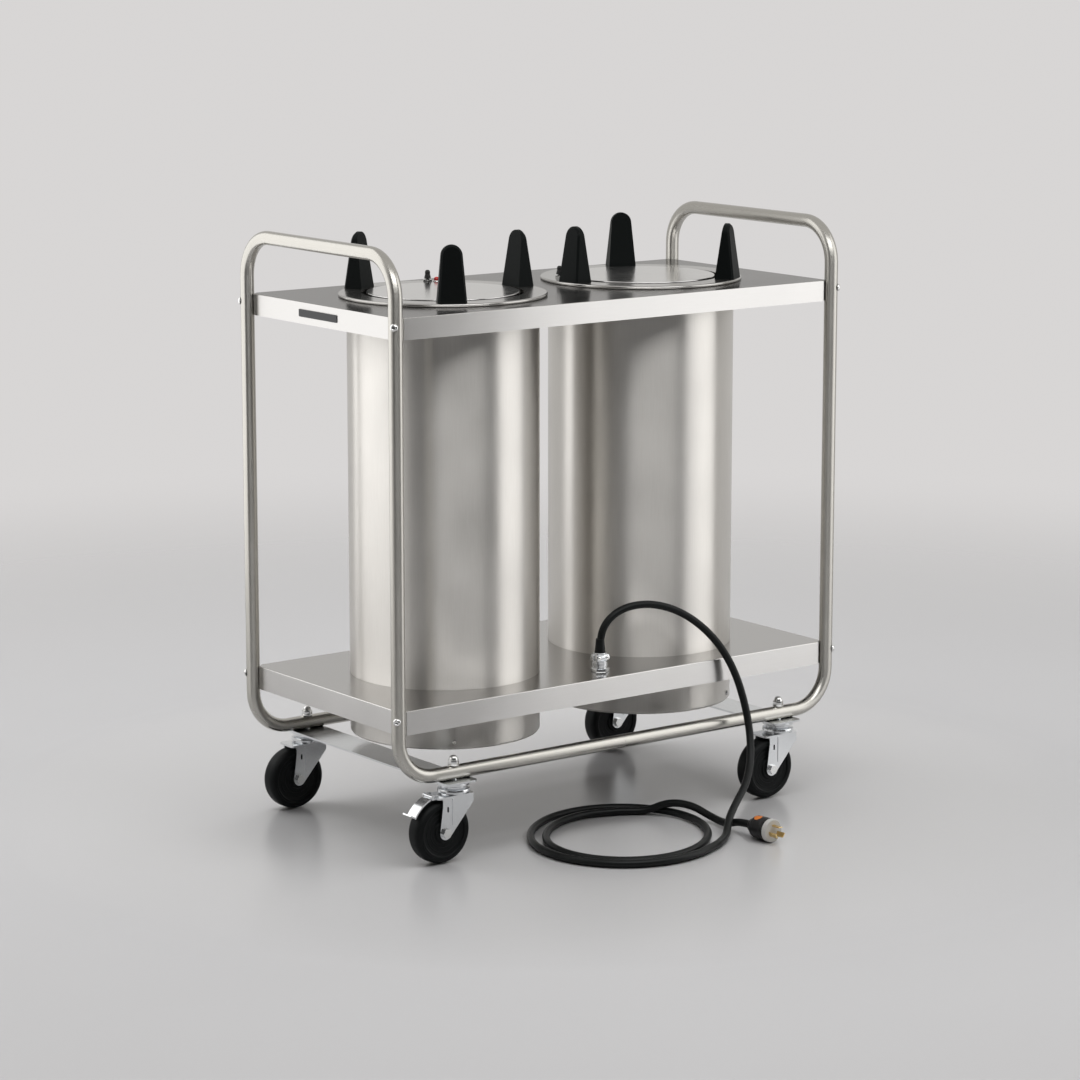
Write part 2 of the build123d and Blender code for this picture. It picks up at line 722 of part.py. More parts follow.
with BuildPart() as grip_screws:
    for side in (-1, 1):
        head_start = (
            grip_place[0] + side * clamp_screw_offset,
            grip_place[1] - clamp_size[1] / 2 - touch,
            clamp_bottom + clamp_size[2] / 2,
        )
        with BuildSketch(Plane(origin=head_start, z_dir=(0, -1, 0))):
            Circle(clamp_screw_diameter - 0.6)
        extrude(amount=3)
        with BuildSketch(Plane(origin=head_start, z_dir=(0, 1, 0))):
            Circle(clamp_screw_diameter / 2)
        extrude(amount=clamp_size[1] - 4)
save(grip_screws.part, "grip_screws")


# The cord: a free stretch from the grip to the floor, two loose loops, and a tail to the plug.
def coil_point(degrees):
    # The loops run clockwise seen from above.
    turn = (coil_start - degrees) / 360
    oval = coil_oval * math.cos(math.radians(2 * (degrees - coil_oval_axis)))
    radius = coil_radius - coil_step * turn + oval
    x = coil_centre[0] + coil_drift[0] * turn + radius * math.cos(math.radians(degrees))
    y = coil_centre[1] + coil_drift[1] * turn + radius * math.sin(math.radians(degrees))
    return Vector(x, y, cord_level)


def coil_direction(degrees):
    return (coil_point(degrees - 0.5) - coil_point(degrees + 0.5)).normalized()


def corner_radii(points):
    radii = []
    for before, point, after in zip(points, points[1:], points[2:]):
        arriving = Vector(point) - Vector(before)
        leaving = Vector(after) - Vector(point)
        turn = math.radians(arriving.get_angle(leaving))
        radii.append(0.45 * min(arriving.length, leaving.length) / math.tan(turn / 2))
    return radii


def cord_tube(label, points):
    radii = corner_radii(points)
    print(label, "bend radii", [round(radius) for radius in radii])
    with BuildPart() as tube:
        with BuildLine() as route:
            FilletPolyline(*points, radius=radii)
        with BuildSketch(Plane(origin=points[0], z_dir=Vector(points[1]) - Vector(points[0]))):
            Circle(cord_radius)
        sweep(path=route.wires()[0])
    length = route.wires()[0].length
    expected = math.pi * cord_radius**2 * length
    print(label, "length", round(length), "volume over section times length", tube.part.volume / expected)
    save(tube.part, label)
    return length


coil_entry = coil_point(coil_start) - coil_direction(coil_start) * cord_diameter
coil_exit_angle = coil_start - coil_sweep
coil_exit = coil_point(coil_exit_angle) + coil_direction(coil_exit_angle) * cord_diameter
landing = coil_entry - coil_direction(coil_start) * 40
leaving = coil_exit + coil_direction(coil_exit_angle) * 34

cord_points = [
    (grip_place[0], grip_place[1], grip_top + touch),
    (grip_place[0], grip_place[1], 307),
    (0, -166.5, 333),
    (19, -171.5, 353),
    (46, -178.5, 365),
    (83, -187.5, 364),
    (124, -198, 349),
    (164, -207, 319),
    (197, -217, 279),
    (220, -228, 232),
    (232, -240, 181),
    (232, -256, 130),
    (218, -275, 86),
    (188, -298, 56),
    (148, -322, 39),
    (109, -349, 22),
    landing,
    coil_entry,
]
tail_points = [
    coil_exit,
    leaving,
    (98, -208, 23),
    (118, -244, 23),
    (128, -282, 9.5),
    (126, -324, cord_level),
    (124, -358, plug_diameter / 2),
    (126, -386, plug_diameter / 2),
]
cord_length = cord_tube("power_cord", cord_points)
cord_length += cord_tube("cord_tail", tail_points)


def quarter_arcs(start, start_direction, end, end_direction):
    # Two tangent arcs between two points of the loops.
    chord = end - start
    both = start_direction + end_direction
    spread = 2 * (1 - start_direction.dot(end_direction))
    reach = chord.dot(both)
    handle = (math.sqrt(reach**2 + spread * chord.dot(chord)) - reach) / spread
    first_corner = start + start_direction * handle
    last_corner = end - end_direction * handle
    middle = (first_corner + last_corner) * 0.5
    TangentArc(start, middle, tangent=start_direction)
    TangentArc(middle, end, tangent=last_corner - first_corner)


quarters = 7
with BuildPart() as cord_coil:
    with BuildLine() as loops:
        Line(coil_entry, coil_point(coil_start))
        for step in range(quarters):
            first = coil_start - coil_sweep * step / quarters
            last = coil_start - coil_sweep * (step + 1) / quarters
            quarter_arcs(coil_point(first), coil_direction(first), coil_point(last), coil_direction(last))
        Line(coil_point(coil_exit_angle), coil_exit)
    with BuildSketch(Plane(origin=coil_entry, z_dir=coil_direction(coil_start))):
        Circle(cord_radius)
    sweep(path=loops.wires()[0])
save(cord_coil.part, "cord_coil")

loops_length = loops.wires()[0].length
cord_length += loops_length
coil_steps = int(coil_sweep / 5)
coil_line = [coil_point(coil_start - 5 * step) for step in range(coil_steps + 1)]
least = min(
    (coil_line[i] - coil_line[j]).length
    for i in range(len(coil_line))
    for j in range(i + 36, len(coil_line))
)
print("cord_coil length", round(loops_length), "least gap to itself", round(least - cord_diameter, 2))
print("volume ratio", cord_coil.part.volume / (math.pi * cord_radius**2 * loops_length))
print("whole cord", round(cord_length))

# Plug: a dark body that tapers to the cord, a light face and three curved blades.
plug_axis = Vector(tail_points[-1]) - Vector(tail_points[-2])
plug_plane = Plane(origin=Vector(tail_points[-1]) + plug_axis.normalized() * touch, z_dir=plug_axis)
neck_radius = 12.5
neck_length = 12.0
with BuildPart() as plug_body:
    with BuildSketch(plug_plane):
        Circle(neck_radius)
    with BuildSketch(plug_plane.offset(neck_length)):
        Circle(plug_diameter / 2 - floor_gap)
    loft()
    with BuildSketch(plug_plane.offset(neck_length)):
        Circle(plug_diameter / 2 - floor_gap)
    extrude(amount=plug_length - neck_length)
save(plug_body.part, "plug_body")

with BuildPart() as plug_face:
    with BuildSketch(plug_plane.offset(plug_length + touch)):
        Circle(plug_diameter / 2 - floor_gap)
    extrude(amount=plug_face_height)
    fillet(plug_face.edges().group_by(Axis(plug_plane.origin, plug_axis))[-1], radius=2)
save(plug_face.part, "plug_face")

blade_radius = 9.5
blade_thickness = 1.6
blade_arc = 52.0
with BuildPart() as plug_blades:
    with BuildSketch(plug_plane.offset(plug_length + plug_face_height + 2 * touch)):
        for start in (0, 120, 240):
            with BuildLine():
                inner = CenterArc((0, 0), blade_radius - blade_thickness / 2, start, blade_arc)
                outer = CenterArc((0, 0), blade_radius + blade_thickness / 2, start, blade_arc)
                Line(inner @ 0, outer @ 0)
                Line(inner @ 1, outer @ 1)
            make_face()
    extrude(amount=blade_length)
save(plug_blades.part, "plug_blades")


# Casters.
race_radius = 26.0
race_wall = 3.0
cup_height = 5.0
with BuildPart() as caster_races:
    for caster in casters.values():
        race_plane = Plane(origin=(caster["place"][0], caster["place"][1], 0))
        top = caster_height - touch
        with BuildSketch(race_plane.offset(crown_top + cup_height + stem_play)):
            Circle(race_radius)
        extrude(amount=top - crown_top - cup_height - stem_play)
        fillet(caster_races.edges().group_by(Axis.Z)[-1].sort_by(SortBy.RADIUS)[-1:], radius=1.5)
        with BuildSketch(race_plane.offset(crown_top + cup_height / 2)):
            Circle(race_radius)
            Circle(race_radius - race_wall, mode=Mode.SUBTRACT)
        extrude(amount=cup_height)
        with BuildSketch(race_plane.offset(top)):
            Circle(stem_diameter / 2 + stem_play)
        extrude(amount=-caster_height, mode=Mode.SUBTRACT)
save(caster_races.part, "caster_races")

stem_head_radius = 9.0
stem_head_height = 3.2
acorn_size = 16.0
acorn_height = 9.0
with BuildPart() as caster_stems:
    for caster in casters.values():
        stem_plane = Plane(origin=(caster["place"][0], caster["place"][1], crown_bottom - 2 * touch))
        with BuildSketch(stem_plane):
            Circle(stem_head_radius)
        extrude(amount=-stem_head_height)
        with BuildSketch(stem_plane):
            Circle(stem_diameter / 2)
        extrude(amount=rail_top + acorn_height - stem_plane.origin.Z)
save(caster_stems.part, "caster_stems")

with BuildPart() as rail_nuts:
    for caster in casters.values():
        nut_plane = Plane(origin=(caster["place"][0], caster["place"][1], rail_top + touch))
        with BuildSketch(nut_plane):
            RegularPolygon(acorn_size / 2, 6, major_radius=False)
        extrude(amount=acorn_height)
        with BuildSketch(nut_plane.offset(acorn_height)):
            Circle(acorn_size / 2 - 0.5)
        extrude(amount=acorn_size / 2, taper=24)
        with BuildSketch(nut_plane):
            Circle(stem_diameter / 2 + axle_play)
        extrude(amount=acorn_height + 1, mode=Mode.SUBTRACT)
save(rail_nuts.part, "rail_nuts")

leg_end_radius = 11.0
leg_rear = -34.0
leg_front = 24.0
leg_front_drop = 14.0
crown_rear = -43.0
crown_front = 27.0
rib_height = 1.0
pivot_x = -47.0
pivot_z = crown_top + 0.5
pin_diameter = 4.0
knuckle_radius = 3.6
ear_gap = 18.6
ear_sheet = 2.7
strap_radius = wheel_radius + 7.2
strap_sheet = 2.4
strap_width = 22.0
strap_first = 109.0
strap_last = 150.0
tab_reach = 9.0
axle_centre = (-caster_trail, wheel_radius)
front_touch = tangent_point((leg_front, crown_top - leg_front_drop), axle_centre, leg_end_radius, -1)
rear_touch = tangent_point((leg_rear, crown_top - leg_front_drop), axle_centre, leg_end_radius, 1)


def side_plane(place, y):
    # A plane across the caster: x runs forward, y up, at y from the swivel axis.
    return Plane(origin=(place[0], place[1] + y, 0), x_dir=(1, 0, 0), z_dir=(0, -1, 0))


for name, caster in casters.items():
    place = caster["place"]
    outer = fork_gap / 2 + fork_sheet
    with BuildPart() as fork:
        with BuildSketch(Plane(origin=(place[0], place[1], crown_bottom))):
            with Locations(((crown_rear + crown_front) / 2, 0)):
                Rectangle(crown_front - crown_rear, 2 * outer)
                fillet(vertices(), radius=6)
        extrude(amount=fork_sheet)
        for y in (-fork_gap / 2, outer):
            with BuildSketch(side_plane(place, y)):
                with BuildLine():
                    Polyline(
                        rear_touch, (leg_rear, crown_top - leg_front_drop), (leg_rear, crown_top),
                        (leg_front, crown_top), (leg_front, crown_top - leg_front_drop), front_touch,
                    )
                    low = (axle_centre[0], axle_centre[1] - leg_end_radius)
                    ThreePointArc(front_touch, low, rear_touch)
                make_face()
                with Locations(axle_centre):
                    Circle(axle_diameter / 2 + axle_play, mode=Mode.SUBTRACT)
                with Locations((axle_centre[0] + 4, axle_centre[1] + 37)):
                    SlotOverall(9, 3.2, rotation=90, mode=Mode.SUBTRACT)
            extrude(amount=fork_sheet)
        for y in (-outer, outer + rib_height):
            with BuildSketch(side_plane(place, y)):
                with Locations((axle_centre[0] + 14, axle_centre[1] + 32)):
                    SlotOverall(44, 4, rotation=90)
            extrude(amount=rib_height)
        with BuildSketch(Plane(origin=(place[0], place[1], crown_top))):
            Circle(race_radius - race_wall - 2)
        extrude(amount=cup_height)
        with BuildSketch(Plane(origin=(place[0], place[1], crown_bottom))):
            Circle(stem_diameter / 2 + axle_play)
        extrude(amount=fork_sheet + cup_height, mode=Mode.SUBTRACT)
        if caster["brake"]:
            for y in (-ear_gap / 2, ear_gap / 2 + ear_sheet):
                with BuildSketch(side_plane(place, y)):
                    with Locations((pivot_x, pivot_z)):
                        Circle(pin_diameter)
                    with Locations(((pivot_x + crown_rear) / 2 + 2, pivot_z - 0.5)):
                        Rectangle(crown_rear - pivot_x + 8, 2 * pin_diameter - 1)
                extrude(amount=ear_sheet)
            with BuildSketch(side_plane(place, ear_gap / 2 + ear_sheet)):
                with Locations((pivot_x, pivot_z)):
                    Circle(pin_diameter / 2)
            extrude(amount=ear_gap + 2 * ear_sheet)
    save(fork.part, f"fork_{name}")

    with BuildPart() as wheel:
        with BuildSketch(side_plane(place, wheel_width / 2)):
            with Locations(axle_centre):
                Circle(wheel_radius)
        extrude(amount=wheel_width)
        fillet(wheel.edges().filter_by(GeomType.CIRCLE), radius=tread_crown)
        for y, depth in ((wheel_width / 2, 3.0), (-wheel_width / 2, -3.0)):
            with BuildSketch(side_plane(place, y)):
                with Locations(axle_centre):
                    Circle(wheel_radius - tread_crown - 4)
                    Circle(16, mode=Mode.SUBTRACT)
            extrude(amount=depth, mode=Mode.SUBTRACT)
        with BuildSketch(side_plane(place, hub_width / 2)):
            with Locations(axle_centre):
                Circle(12)
        extrude(amount=hub_width)
        with BuildSketch(side_plane(place, hub_width / 2)):
            with Locations(axle_centre):
                Circle(axle_diameter / 2 + axle_play)
        extrude(amount=hub_width, mode=Mode.SUBTRACT)
    save(wheel.part, f"wheel_{name}")

    axle_nut = 14.0
    axle_nut_height = 5.0
    with BuildPart() as axle:
        with BuildSketch(side_plane(place, outer + touch + axle_nut_height)):
            with Locations(axle_centre):
                RegularPolygon(axle_nut / 2, 6, major_radius=False)
        extrude(amount=axle_nut_height)
        with BuildSketch(side_plane(place, outer + touch)):
            with Locations(axle_centre):
                Circle(axle_diameter / 2)
        extrude(amount=2 * outer + 2 * touch + axle_nut_height)
        with BuildSketch(side_plane(place, -outer - touch)):
            with Locations(axle_centre):
                RegularPolygon(axle_nut / 2, 6, major_radius=False)
                Circle(axle_diameter / 2 + axle_play, mode=Mode.SUBTRACT)
        extrude(amount=axle_nut_height)
    save(axle.part, f"wheel_axle_{name}")

    if caster["brake"]:
        with BuildPart() as brake:
            with BuildSketch(side_plane(place, strap_width / 2)):
                with BuildLine():
                    strap_arc = strap_last - strap_first
                    inner = CenterArc(axle_centre, strap_radius, strap_first, strap_arc)
                    outer = CenterArc(axle_centre, strap_radius + strap_sheet, strap_first, strap_arc)
                    Line(inner @ 0, outer @ 0)
                    Line(inner @ 1, outer @ 1)
                make_face()
                tab_angle = math.radians(strap_last)
                tab_start = strap_radius + strap_sheet / 2
                with Locations((
                    axle_centre[0] + (tab_start + tab_reach / 2) * math.cos(tab_angle),
                    axle_centre[1] + (tab_start + tab_reach / 2) * math.sin(tab_angle),
                )):
                    Rectangle(tab_reach + strap_sheet, strap_sheet, rotation=strap_last)
            extrude(amount=strap_width)
            with BuildSketch(side_plane(place, ear_gap / 2 - stem_play)):
                with Locations((pivot_x, pivot_z)):
                    Circle(knuckle_radius)
            extrude(amount=ear_gap - 2 * stem_play)
            for y in (strap_width / 2, -ear_gap / 2 + stem_play):
                with BuildSketch(side_plane(place, y)):
                    with Locations((pivot_x, pivot_z)):
                        Circle(pin_diameter + 1.2)
                extrude(amount=strap_width / 2 - ear_gap / 2 + stem_play, mode=Mode.SUBTRACT)
            with BuildSketch(side_plane(place, strap_width / 2)):
                with Locations((pivot_x, pivot_z)):
                    Circle(pin_diameter / 2 + axle_play)
            extrude(amount=strap_width, mode=Mode.SUBTRACT)
        save(brake.part, f"brake_{name}")
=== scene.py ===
import math

import bpy
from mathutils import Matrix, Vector


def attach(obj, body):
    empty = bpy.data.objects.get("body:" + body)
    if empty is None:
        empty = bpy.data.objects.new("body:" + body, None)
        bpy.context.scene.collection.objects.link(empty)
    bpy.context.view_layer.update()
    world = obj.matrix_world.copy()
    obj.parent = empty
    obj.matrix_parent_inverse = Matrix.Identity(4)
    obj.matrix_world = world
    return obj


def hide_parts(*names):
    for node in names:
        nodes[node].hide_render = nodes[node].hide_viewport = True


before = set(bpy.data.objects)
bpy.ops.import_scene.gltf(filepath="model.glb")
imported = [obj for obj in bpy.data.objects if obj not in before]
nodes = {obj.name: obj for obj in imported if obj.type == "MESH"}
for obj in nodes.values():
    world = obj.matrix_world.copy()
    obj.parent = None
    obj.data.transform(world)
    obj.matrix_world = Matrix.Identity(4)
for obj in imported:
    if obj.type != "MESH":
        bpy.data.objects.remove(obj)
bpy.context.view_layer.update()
print("frame loaded:", len(nodes), "nodes")


def clearSelection():
    bpy.ops.object.select_all(action="DESELECT")


def settle(piece, name):
    # name a finished piece and bake its place into its mesh
    clearSelection()
    piece.select_set(True)
    bpy.context.view_layer.objects.active = piece
    bpy.ops.object.transform_apply(location=True, rotation=True, scale=True)
    piece.name = name
    return piece


def dress(piece, material):
    piece.data.materials.clear()
    piece.data.materials.append(material)


def fit(piece, material, body):
    # finish, record slot and body of a new piece
    dress(piece, material)
    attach(piece, body)


def dressNode(nodeName, material):
    node = nodes[nodeName]
    if not node.material_slots:
        node.data.materials.append(material)
    for slot in node.material_slots:
        slot.material = material


# camera

cameraSetup = {
    "place": (-3.4073, -4.5406, 1.5100),
    "yaw": -36.82,
    "pitch": 10.68,
    "lens": 116.97,
}


def makeCamera(setup):
    cameraData = bpy.data.cameras.new("studioCamera")
    camera = bpy.data.objects.new("studioCamera", cameraData)
    bpy.context.scene.collection.objects.link(camera)
    yaw, pitch = math.radians(setup["yaw"]), math.radians(setup["pitch"])
    level = math.cos(pitch)
    forward = Vector((-math.sin(yaw) * level, math.cos(yaw) * level, -math.sin(pitch)))
    camera.location = setup["place"]
    camera.rotation_euler = forward.to_track_quat("-Z", "Y").to_euler()
    cameraData.sensor_width = 36
    cameraData.lens = setup["lens"]
    cameraData.clip_end = 60
    bpy.context.scene.camera = camera


makeCamera(cameraSetup)
print("camera set")

# cord: the same route points as the solids, in metres

cordSetup = {
    "diameter": 0.0125,
    "exit": (-0.0095, -0.164, 0.2811),
    "length": 2.640,
    "level": 0.0065,
    "coilCentre": (-0.043, -0.267),
    "coilRadius": 0.173,
    "coilStep": 0.024,
    "coilOval": 0.013,
    "coilOvalAxis": 47.0,
    "coilDrift": (-0.002, -0.005),
    "coilStart": -60.0,
    "coilSweep": 605.0,
    "coilPoints": 24,
    "lead": 0.0125,  # from the coil's two ends to the points before and after it
    "landing": 0.040,  # from the point before the coil back to where the arch comes down
    "lift": 0.034,  # from the point after the coil on to where the tail rises
}

arch = [
    (-0.0095, -0.164, 0.305),
    (-0.001, -0.1665, 0.328),
    (0.018, -0.1715, 0.345),
    (0.046, -0.1785, 0.354),
    (0.083, -0.1875, 0.353),
    (0.124, -0.198, 0.339),
    (0.164, -0.207, 0.312),
    (0.197, -0.217, 0.276),
    (0.220, -0.228, 0.232),
    (0.232, -0.240, 0.181),
    (0.232, -0.256, 0.130),
    (0.218, -0.275, 0.086),
    (0.188, -0.298, 0.056),
    (0.148, -0.322, 0.039),
    (0.109, -0.349, 0.022),
]
tail = [
    (0.098, -0.208, 0.023),
    (0.118, -0.244, 0.023),
    (0.128, -0.282, 0.0095),
    (0.126, -0.324, 0.0065),
    (0.124, -0.358, 0.019),
    (0.126, -0.386, 0.019),
]


def coilPoint(setup, degrees):
    turn = (setup["coilStart"] - degrees) / 360
    oval = setup["coilOval"] * math.cos(math.radians(2 * (degrees - setup["coilOvalAxis"])))
    radius = setup["coilRadius"] - setup["coilStep"] * turn + oval
    x = setup["coilCentre"][0] + setup["coilDrift"][0] * turn + radius * math.cos(math.radians(degrees))
    y = setup["coilCentre"][1] + setup["coilDrift"][1] * turn + radius * math.sin(math.radians(degrees))
    return Vector((x, y, setup["level"]))


def coilDirection(setup, degrees):
    return (coilPoint(setup, degrees - 0.5) - coilPoint(setup, degrees + 0.5)).normalized()


def makeCord(setup):
    first = setup["coilStart"]
    last = first - setup["coilSweep"]
    entry = coilPoint(setup, first) - coilDirection(setup, first) * setup["lead"]
    leave = coilPoint(setup, last) + coilDirection(setup, last) * setup["lead"]
    landing = entry - coilDirection(setup, first) * setup["landing"]
    lift = leave + coilDirection(setup, last) * setup["lift"]
    steps = setup["coilPoints"]
    loops = [coilPoint(setup, first - setup["coilSweep"] * step / steps) for step in range(steps + 1)]
    points = [Vector(setup["exit"])] + [Vector(p) for p in arch] + [landing, entry] + loops
    points += [leave, lift] + [Vector(p) for p in tail]
    curve = bpy.data.curves.new("powerCord", "CURVE")
    curve.dimensions = "3D"
    spline = curve.splines.new("NURBS")
    spline.points.add(len(points) - 1)
    for spot, point in zip(spline.points, points):
        spot.co = (*point, 1)
    spline.order_u = 3
    spline.use_endpoint_u = True
    spline.resolution_u = 8
    curve.bevel_depth = setup["diameter"] / 2
    curve.bevel_resolution = 5
    curve.use_fill_caps = True
    cord = bpy.data.objects.new("powerCord", curve)
    bpy.context.scene.collection.objects.link(cord)
    return cord


powerCord = makeCord(cordSetup)
print("cord laid")

# shared effects as node groups

effectSetup = {
    "wearAndHighlightGain": 6.0,  # how soon a turn of the surface counts as an edge, worn and painted with a highlight
    "wearAndHighlightBreaks": 90,  # scale of the noise that breaks the edge line up
    "cloudScale": 9,
    "dustOnSides": 0.15,  # dust on an upright face, where a level one has 1
}
noiseSpan = (0.25, 0.75)  # the values that Blender's noise seldom leaves


def newGroup(name, inputs, outputs):
    group = bpy.data.node_groups.new(name, "ShaderNodeTree")
    for label, kind, default in inputs:
        socket = group.interface.new_socket(name=label, in_out="INPUT", socket_type=kind)
        if default is not None:
            socket.default_value = default
    for label, kind in outputs:
        group.interface.new_socket(name=label, in_out="OUTPUT", socket_type=kind)
    start = group.nodes.new("NodeGroupInput")
    end = group.nodes.new("NodeGroupOutput")
    return group, start, end


def mathNode(tree, operation, first, second=None, clamp=False):
    node = tree.nodes.new("ShaderNodeMath")
    node.operation = operation
    node.use_clamp = clamp
    for index, value in enumerate((first, second)):
        if value is None:
            continue
        if isinstance(value, (int, float)):
            node.inputs[index].default_value = value
        else:
            tree.links.new(value, node.inputs[index])
    return node.outputs[0]


def buildEdgeWearAndHighlight(setup):
    # mask of edges, from the difference of rounded and true normals; on metal it paints a bright edge
    # highlight, on plastic lighter edges that are partly rubbed wear and partly a painted highlight
    group, start, end = newGroup(
        "edgeWearAndHighlight",
        [("Radius", "NodeSocketFloat", 0.0015), ("Amount", "NodeSocketFloat", 1.0)],
        [("Mask", "NodeSocketFloat")],
    )
    bevel = group.nodes.new("ShaderNodeBevel")
    bevel.samples = 4
    group.links.new(start.outputs["Radius"], bevel.inputs["Radius"])
    geometry = group.nodes.new("ShaderNodeNewGeometry")
    dot = group.nodes.new("ShaderNodeVectorMath")
    dot.operation = "DOT_PRODUCT"
    group.links.new(bevel.outputs["Normal"], dot.inputs[0])
    group.links.new(geometry.outputs["Normal"], dot.inputs[1])
    turned = mathNode(group, "SUBTRACT", 1.0, dot.outputs["Value"], clamp=True)
    grown = mathNode(group, "MULTIPLY", turned, setup["wearAndHighlightGain"], clamp=True)
    noise = group.nodes.new("ShaderNodeTexNoise")
    noise.inputs["Scale"].default_value = setup["wearAndHighlightBreaks"]
    noise.inputs["Detail"].default_value = 4
    coords = group.nodes.new("ShaderNodeTexCoord")
    group.links.new(coords.outputs["Object"], noise.inputs["Vector"])
    broken = mathNode(group, "MULTIPLY", grown, noise.outputs["Fac"])
    scaled = mathNode(group, "MULTIPLY", broken, start.outputs["Amount"], clamp=True)
    group.links.new(scaled, end.inputs["Mask"])
    return group


def buildBrushGrain(setup):
    # fine parallel scratches plus a slow cloud, on stretched coordinates
    group, start, end = newGroup(
        "brushGrain",
        [("Vector", "NodeSocketVector", None), ("Fineness", "NodeSocketFloat", 1.0)],
        [("Scratch", "NodeSocketFloat"), ("Cloud", "NodeSocketFloat")],
    )
    fine = group.nodes.new("ShaderNodeTexNoise")
    fine.inputs["Detail"].default_value = 3
    fine.inputs["Roughness"].default_value = 0.6
    group.links.new(start.outputs["Vector"], fine.inputs["Vector"])
    group.links.new(start.outputs["Fineness"], fine.inputs["Scale"])
    cloud = group.nodes.new("ShaderNodeTexNoise")
    cloud.inputs["Detail"].default_value = 4
    cloud.inputs["Scale"].default_value = setup["cloudScale"]
    coords = group.nodes.new("ShaderNodeTexCoord")
    group.links.new(coords.outputs["Object"], cloud.inputs["Vector"])
    group.links.new(fine.outputs["Fac"], end.inputs["Scratch"])
    group.links.new(cloud.outputs["Fac"], end.inputs["Cloud"])
    return group


def buildDust(setup):
    # soft smears and dust that lie on upward faces
    group, start, end = newGroup(
        "dustAndSmears",
        [("Scale", "NodeSocketFloat", 14.0), ("Amount", "NodeSocketFloat", 0.3)],
        [("Mask", "NodeSocketFloat")],
    )
    coords = group.nodes.new("ShaderNodeTexCoord")
    noise = group.nodes.new("ShaderNodeTexNoise")
    noise.inputs["Detail"].default_value = 6
    noise.inputs["Roughness"].default_value = 0.65
    group.links.new(coords.outputs["Object"], noise.inputs["Vector"])
    group.links.new(start.outputs["Scale"], noise.inputs["Scale"])
    geometry = group.nodes.new("ShaderNodeNewGeometry")
    split = group.nodes.new("ShaderNodeSeparateXYZ")
    group.links.new(geometry.outputs["Normal"], split.inputs[0])
    up = mathNode(group, "MAXIMUM", split.outputs["Z"], setup["dustOnSides"])
    spread = mathNode(group, "MULTIPLY", noise.outputs["Fac"], up)
    scaled = mathNode(group, "MULTIPLY", spread, start.outputs["Amount"], clamp=True)
    group.links.new(scaled, end.inputs["Mask"])
    return group


edgeWearAndHighlight = buildEdgeWearAndHighlight(effectSetup)
brushGrain = buildBrushGrain(effectSetup)
dustAndSmears = buildDust(effectSetup)
print("shared effects built")

# finishes


def newFinish(name):
    material = bpy.data.materials.new(name)
    material.use_nodes = True
    tree = material.node_tree
    shader = tree.nodes["Principled BSDF"]
    return material, tree, shader


def useGroup(tree, group, **values):
    node = tree.nodes.new("ShaderNodeGroup")
    node.node_tree = group
    for key, value in values.items():
        node.inputs[key].default_value = value
    return node


def rampBetween(tree, value, span, ends, smooth=False):
    # a number that runs from one end to the other while the value crosses the span
    node = tree.nodes.new("ShaderNodeMapRange")
    if smooth:
        node.interpolation_type = "SMOOTHSTEP"
    node.inputs["From Min"].default_value, node.inputs["From Max"].default_value = span
    node.inputs["To Min"].default_value, node.inputs["To Max"].default_value = ends
    tree.links.new(value, node.inputs["Value"])
    return node.outputs["Result"]


def vectorLength(tree, vector):
    node = tree.nodes.new("ShaderNodeVectorMath")
    node.operation = "LENGTH"
    tree.links.new(vector, node.inputs[0])
    return node.outputs["Value"]


def blendColours(tree, fac, first, second):
    node = tree.nodes.new("ShaderNodeMix")
    node.data_type = "RGBA"
    tree.links.new(fac, node.inputs["Factor"])
    for socket, value in ((node.inputs[6], first), (node.inputs[7], second)):
        if isinstance(value, tuple):
            socket.default_value = (*value, 1)
        else:
            tree.links.new(value, socket)
    return node.outputs[2]


def bumpFrom(tree, height, distance, strength):
    node = tree.nodes.new("ShaderNodeBump")
    node.inputs["Strength"].default_value = strength
    node.inputs["Distance"].default_value = distance
    tree.links.new(height, node.inputs["Height"])
    return node.outputs["Normal"]


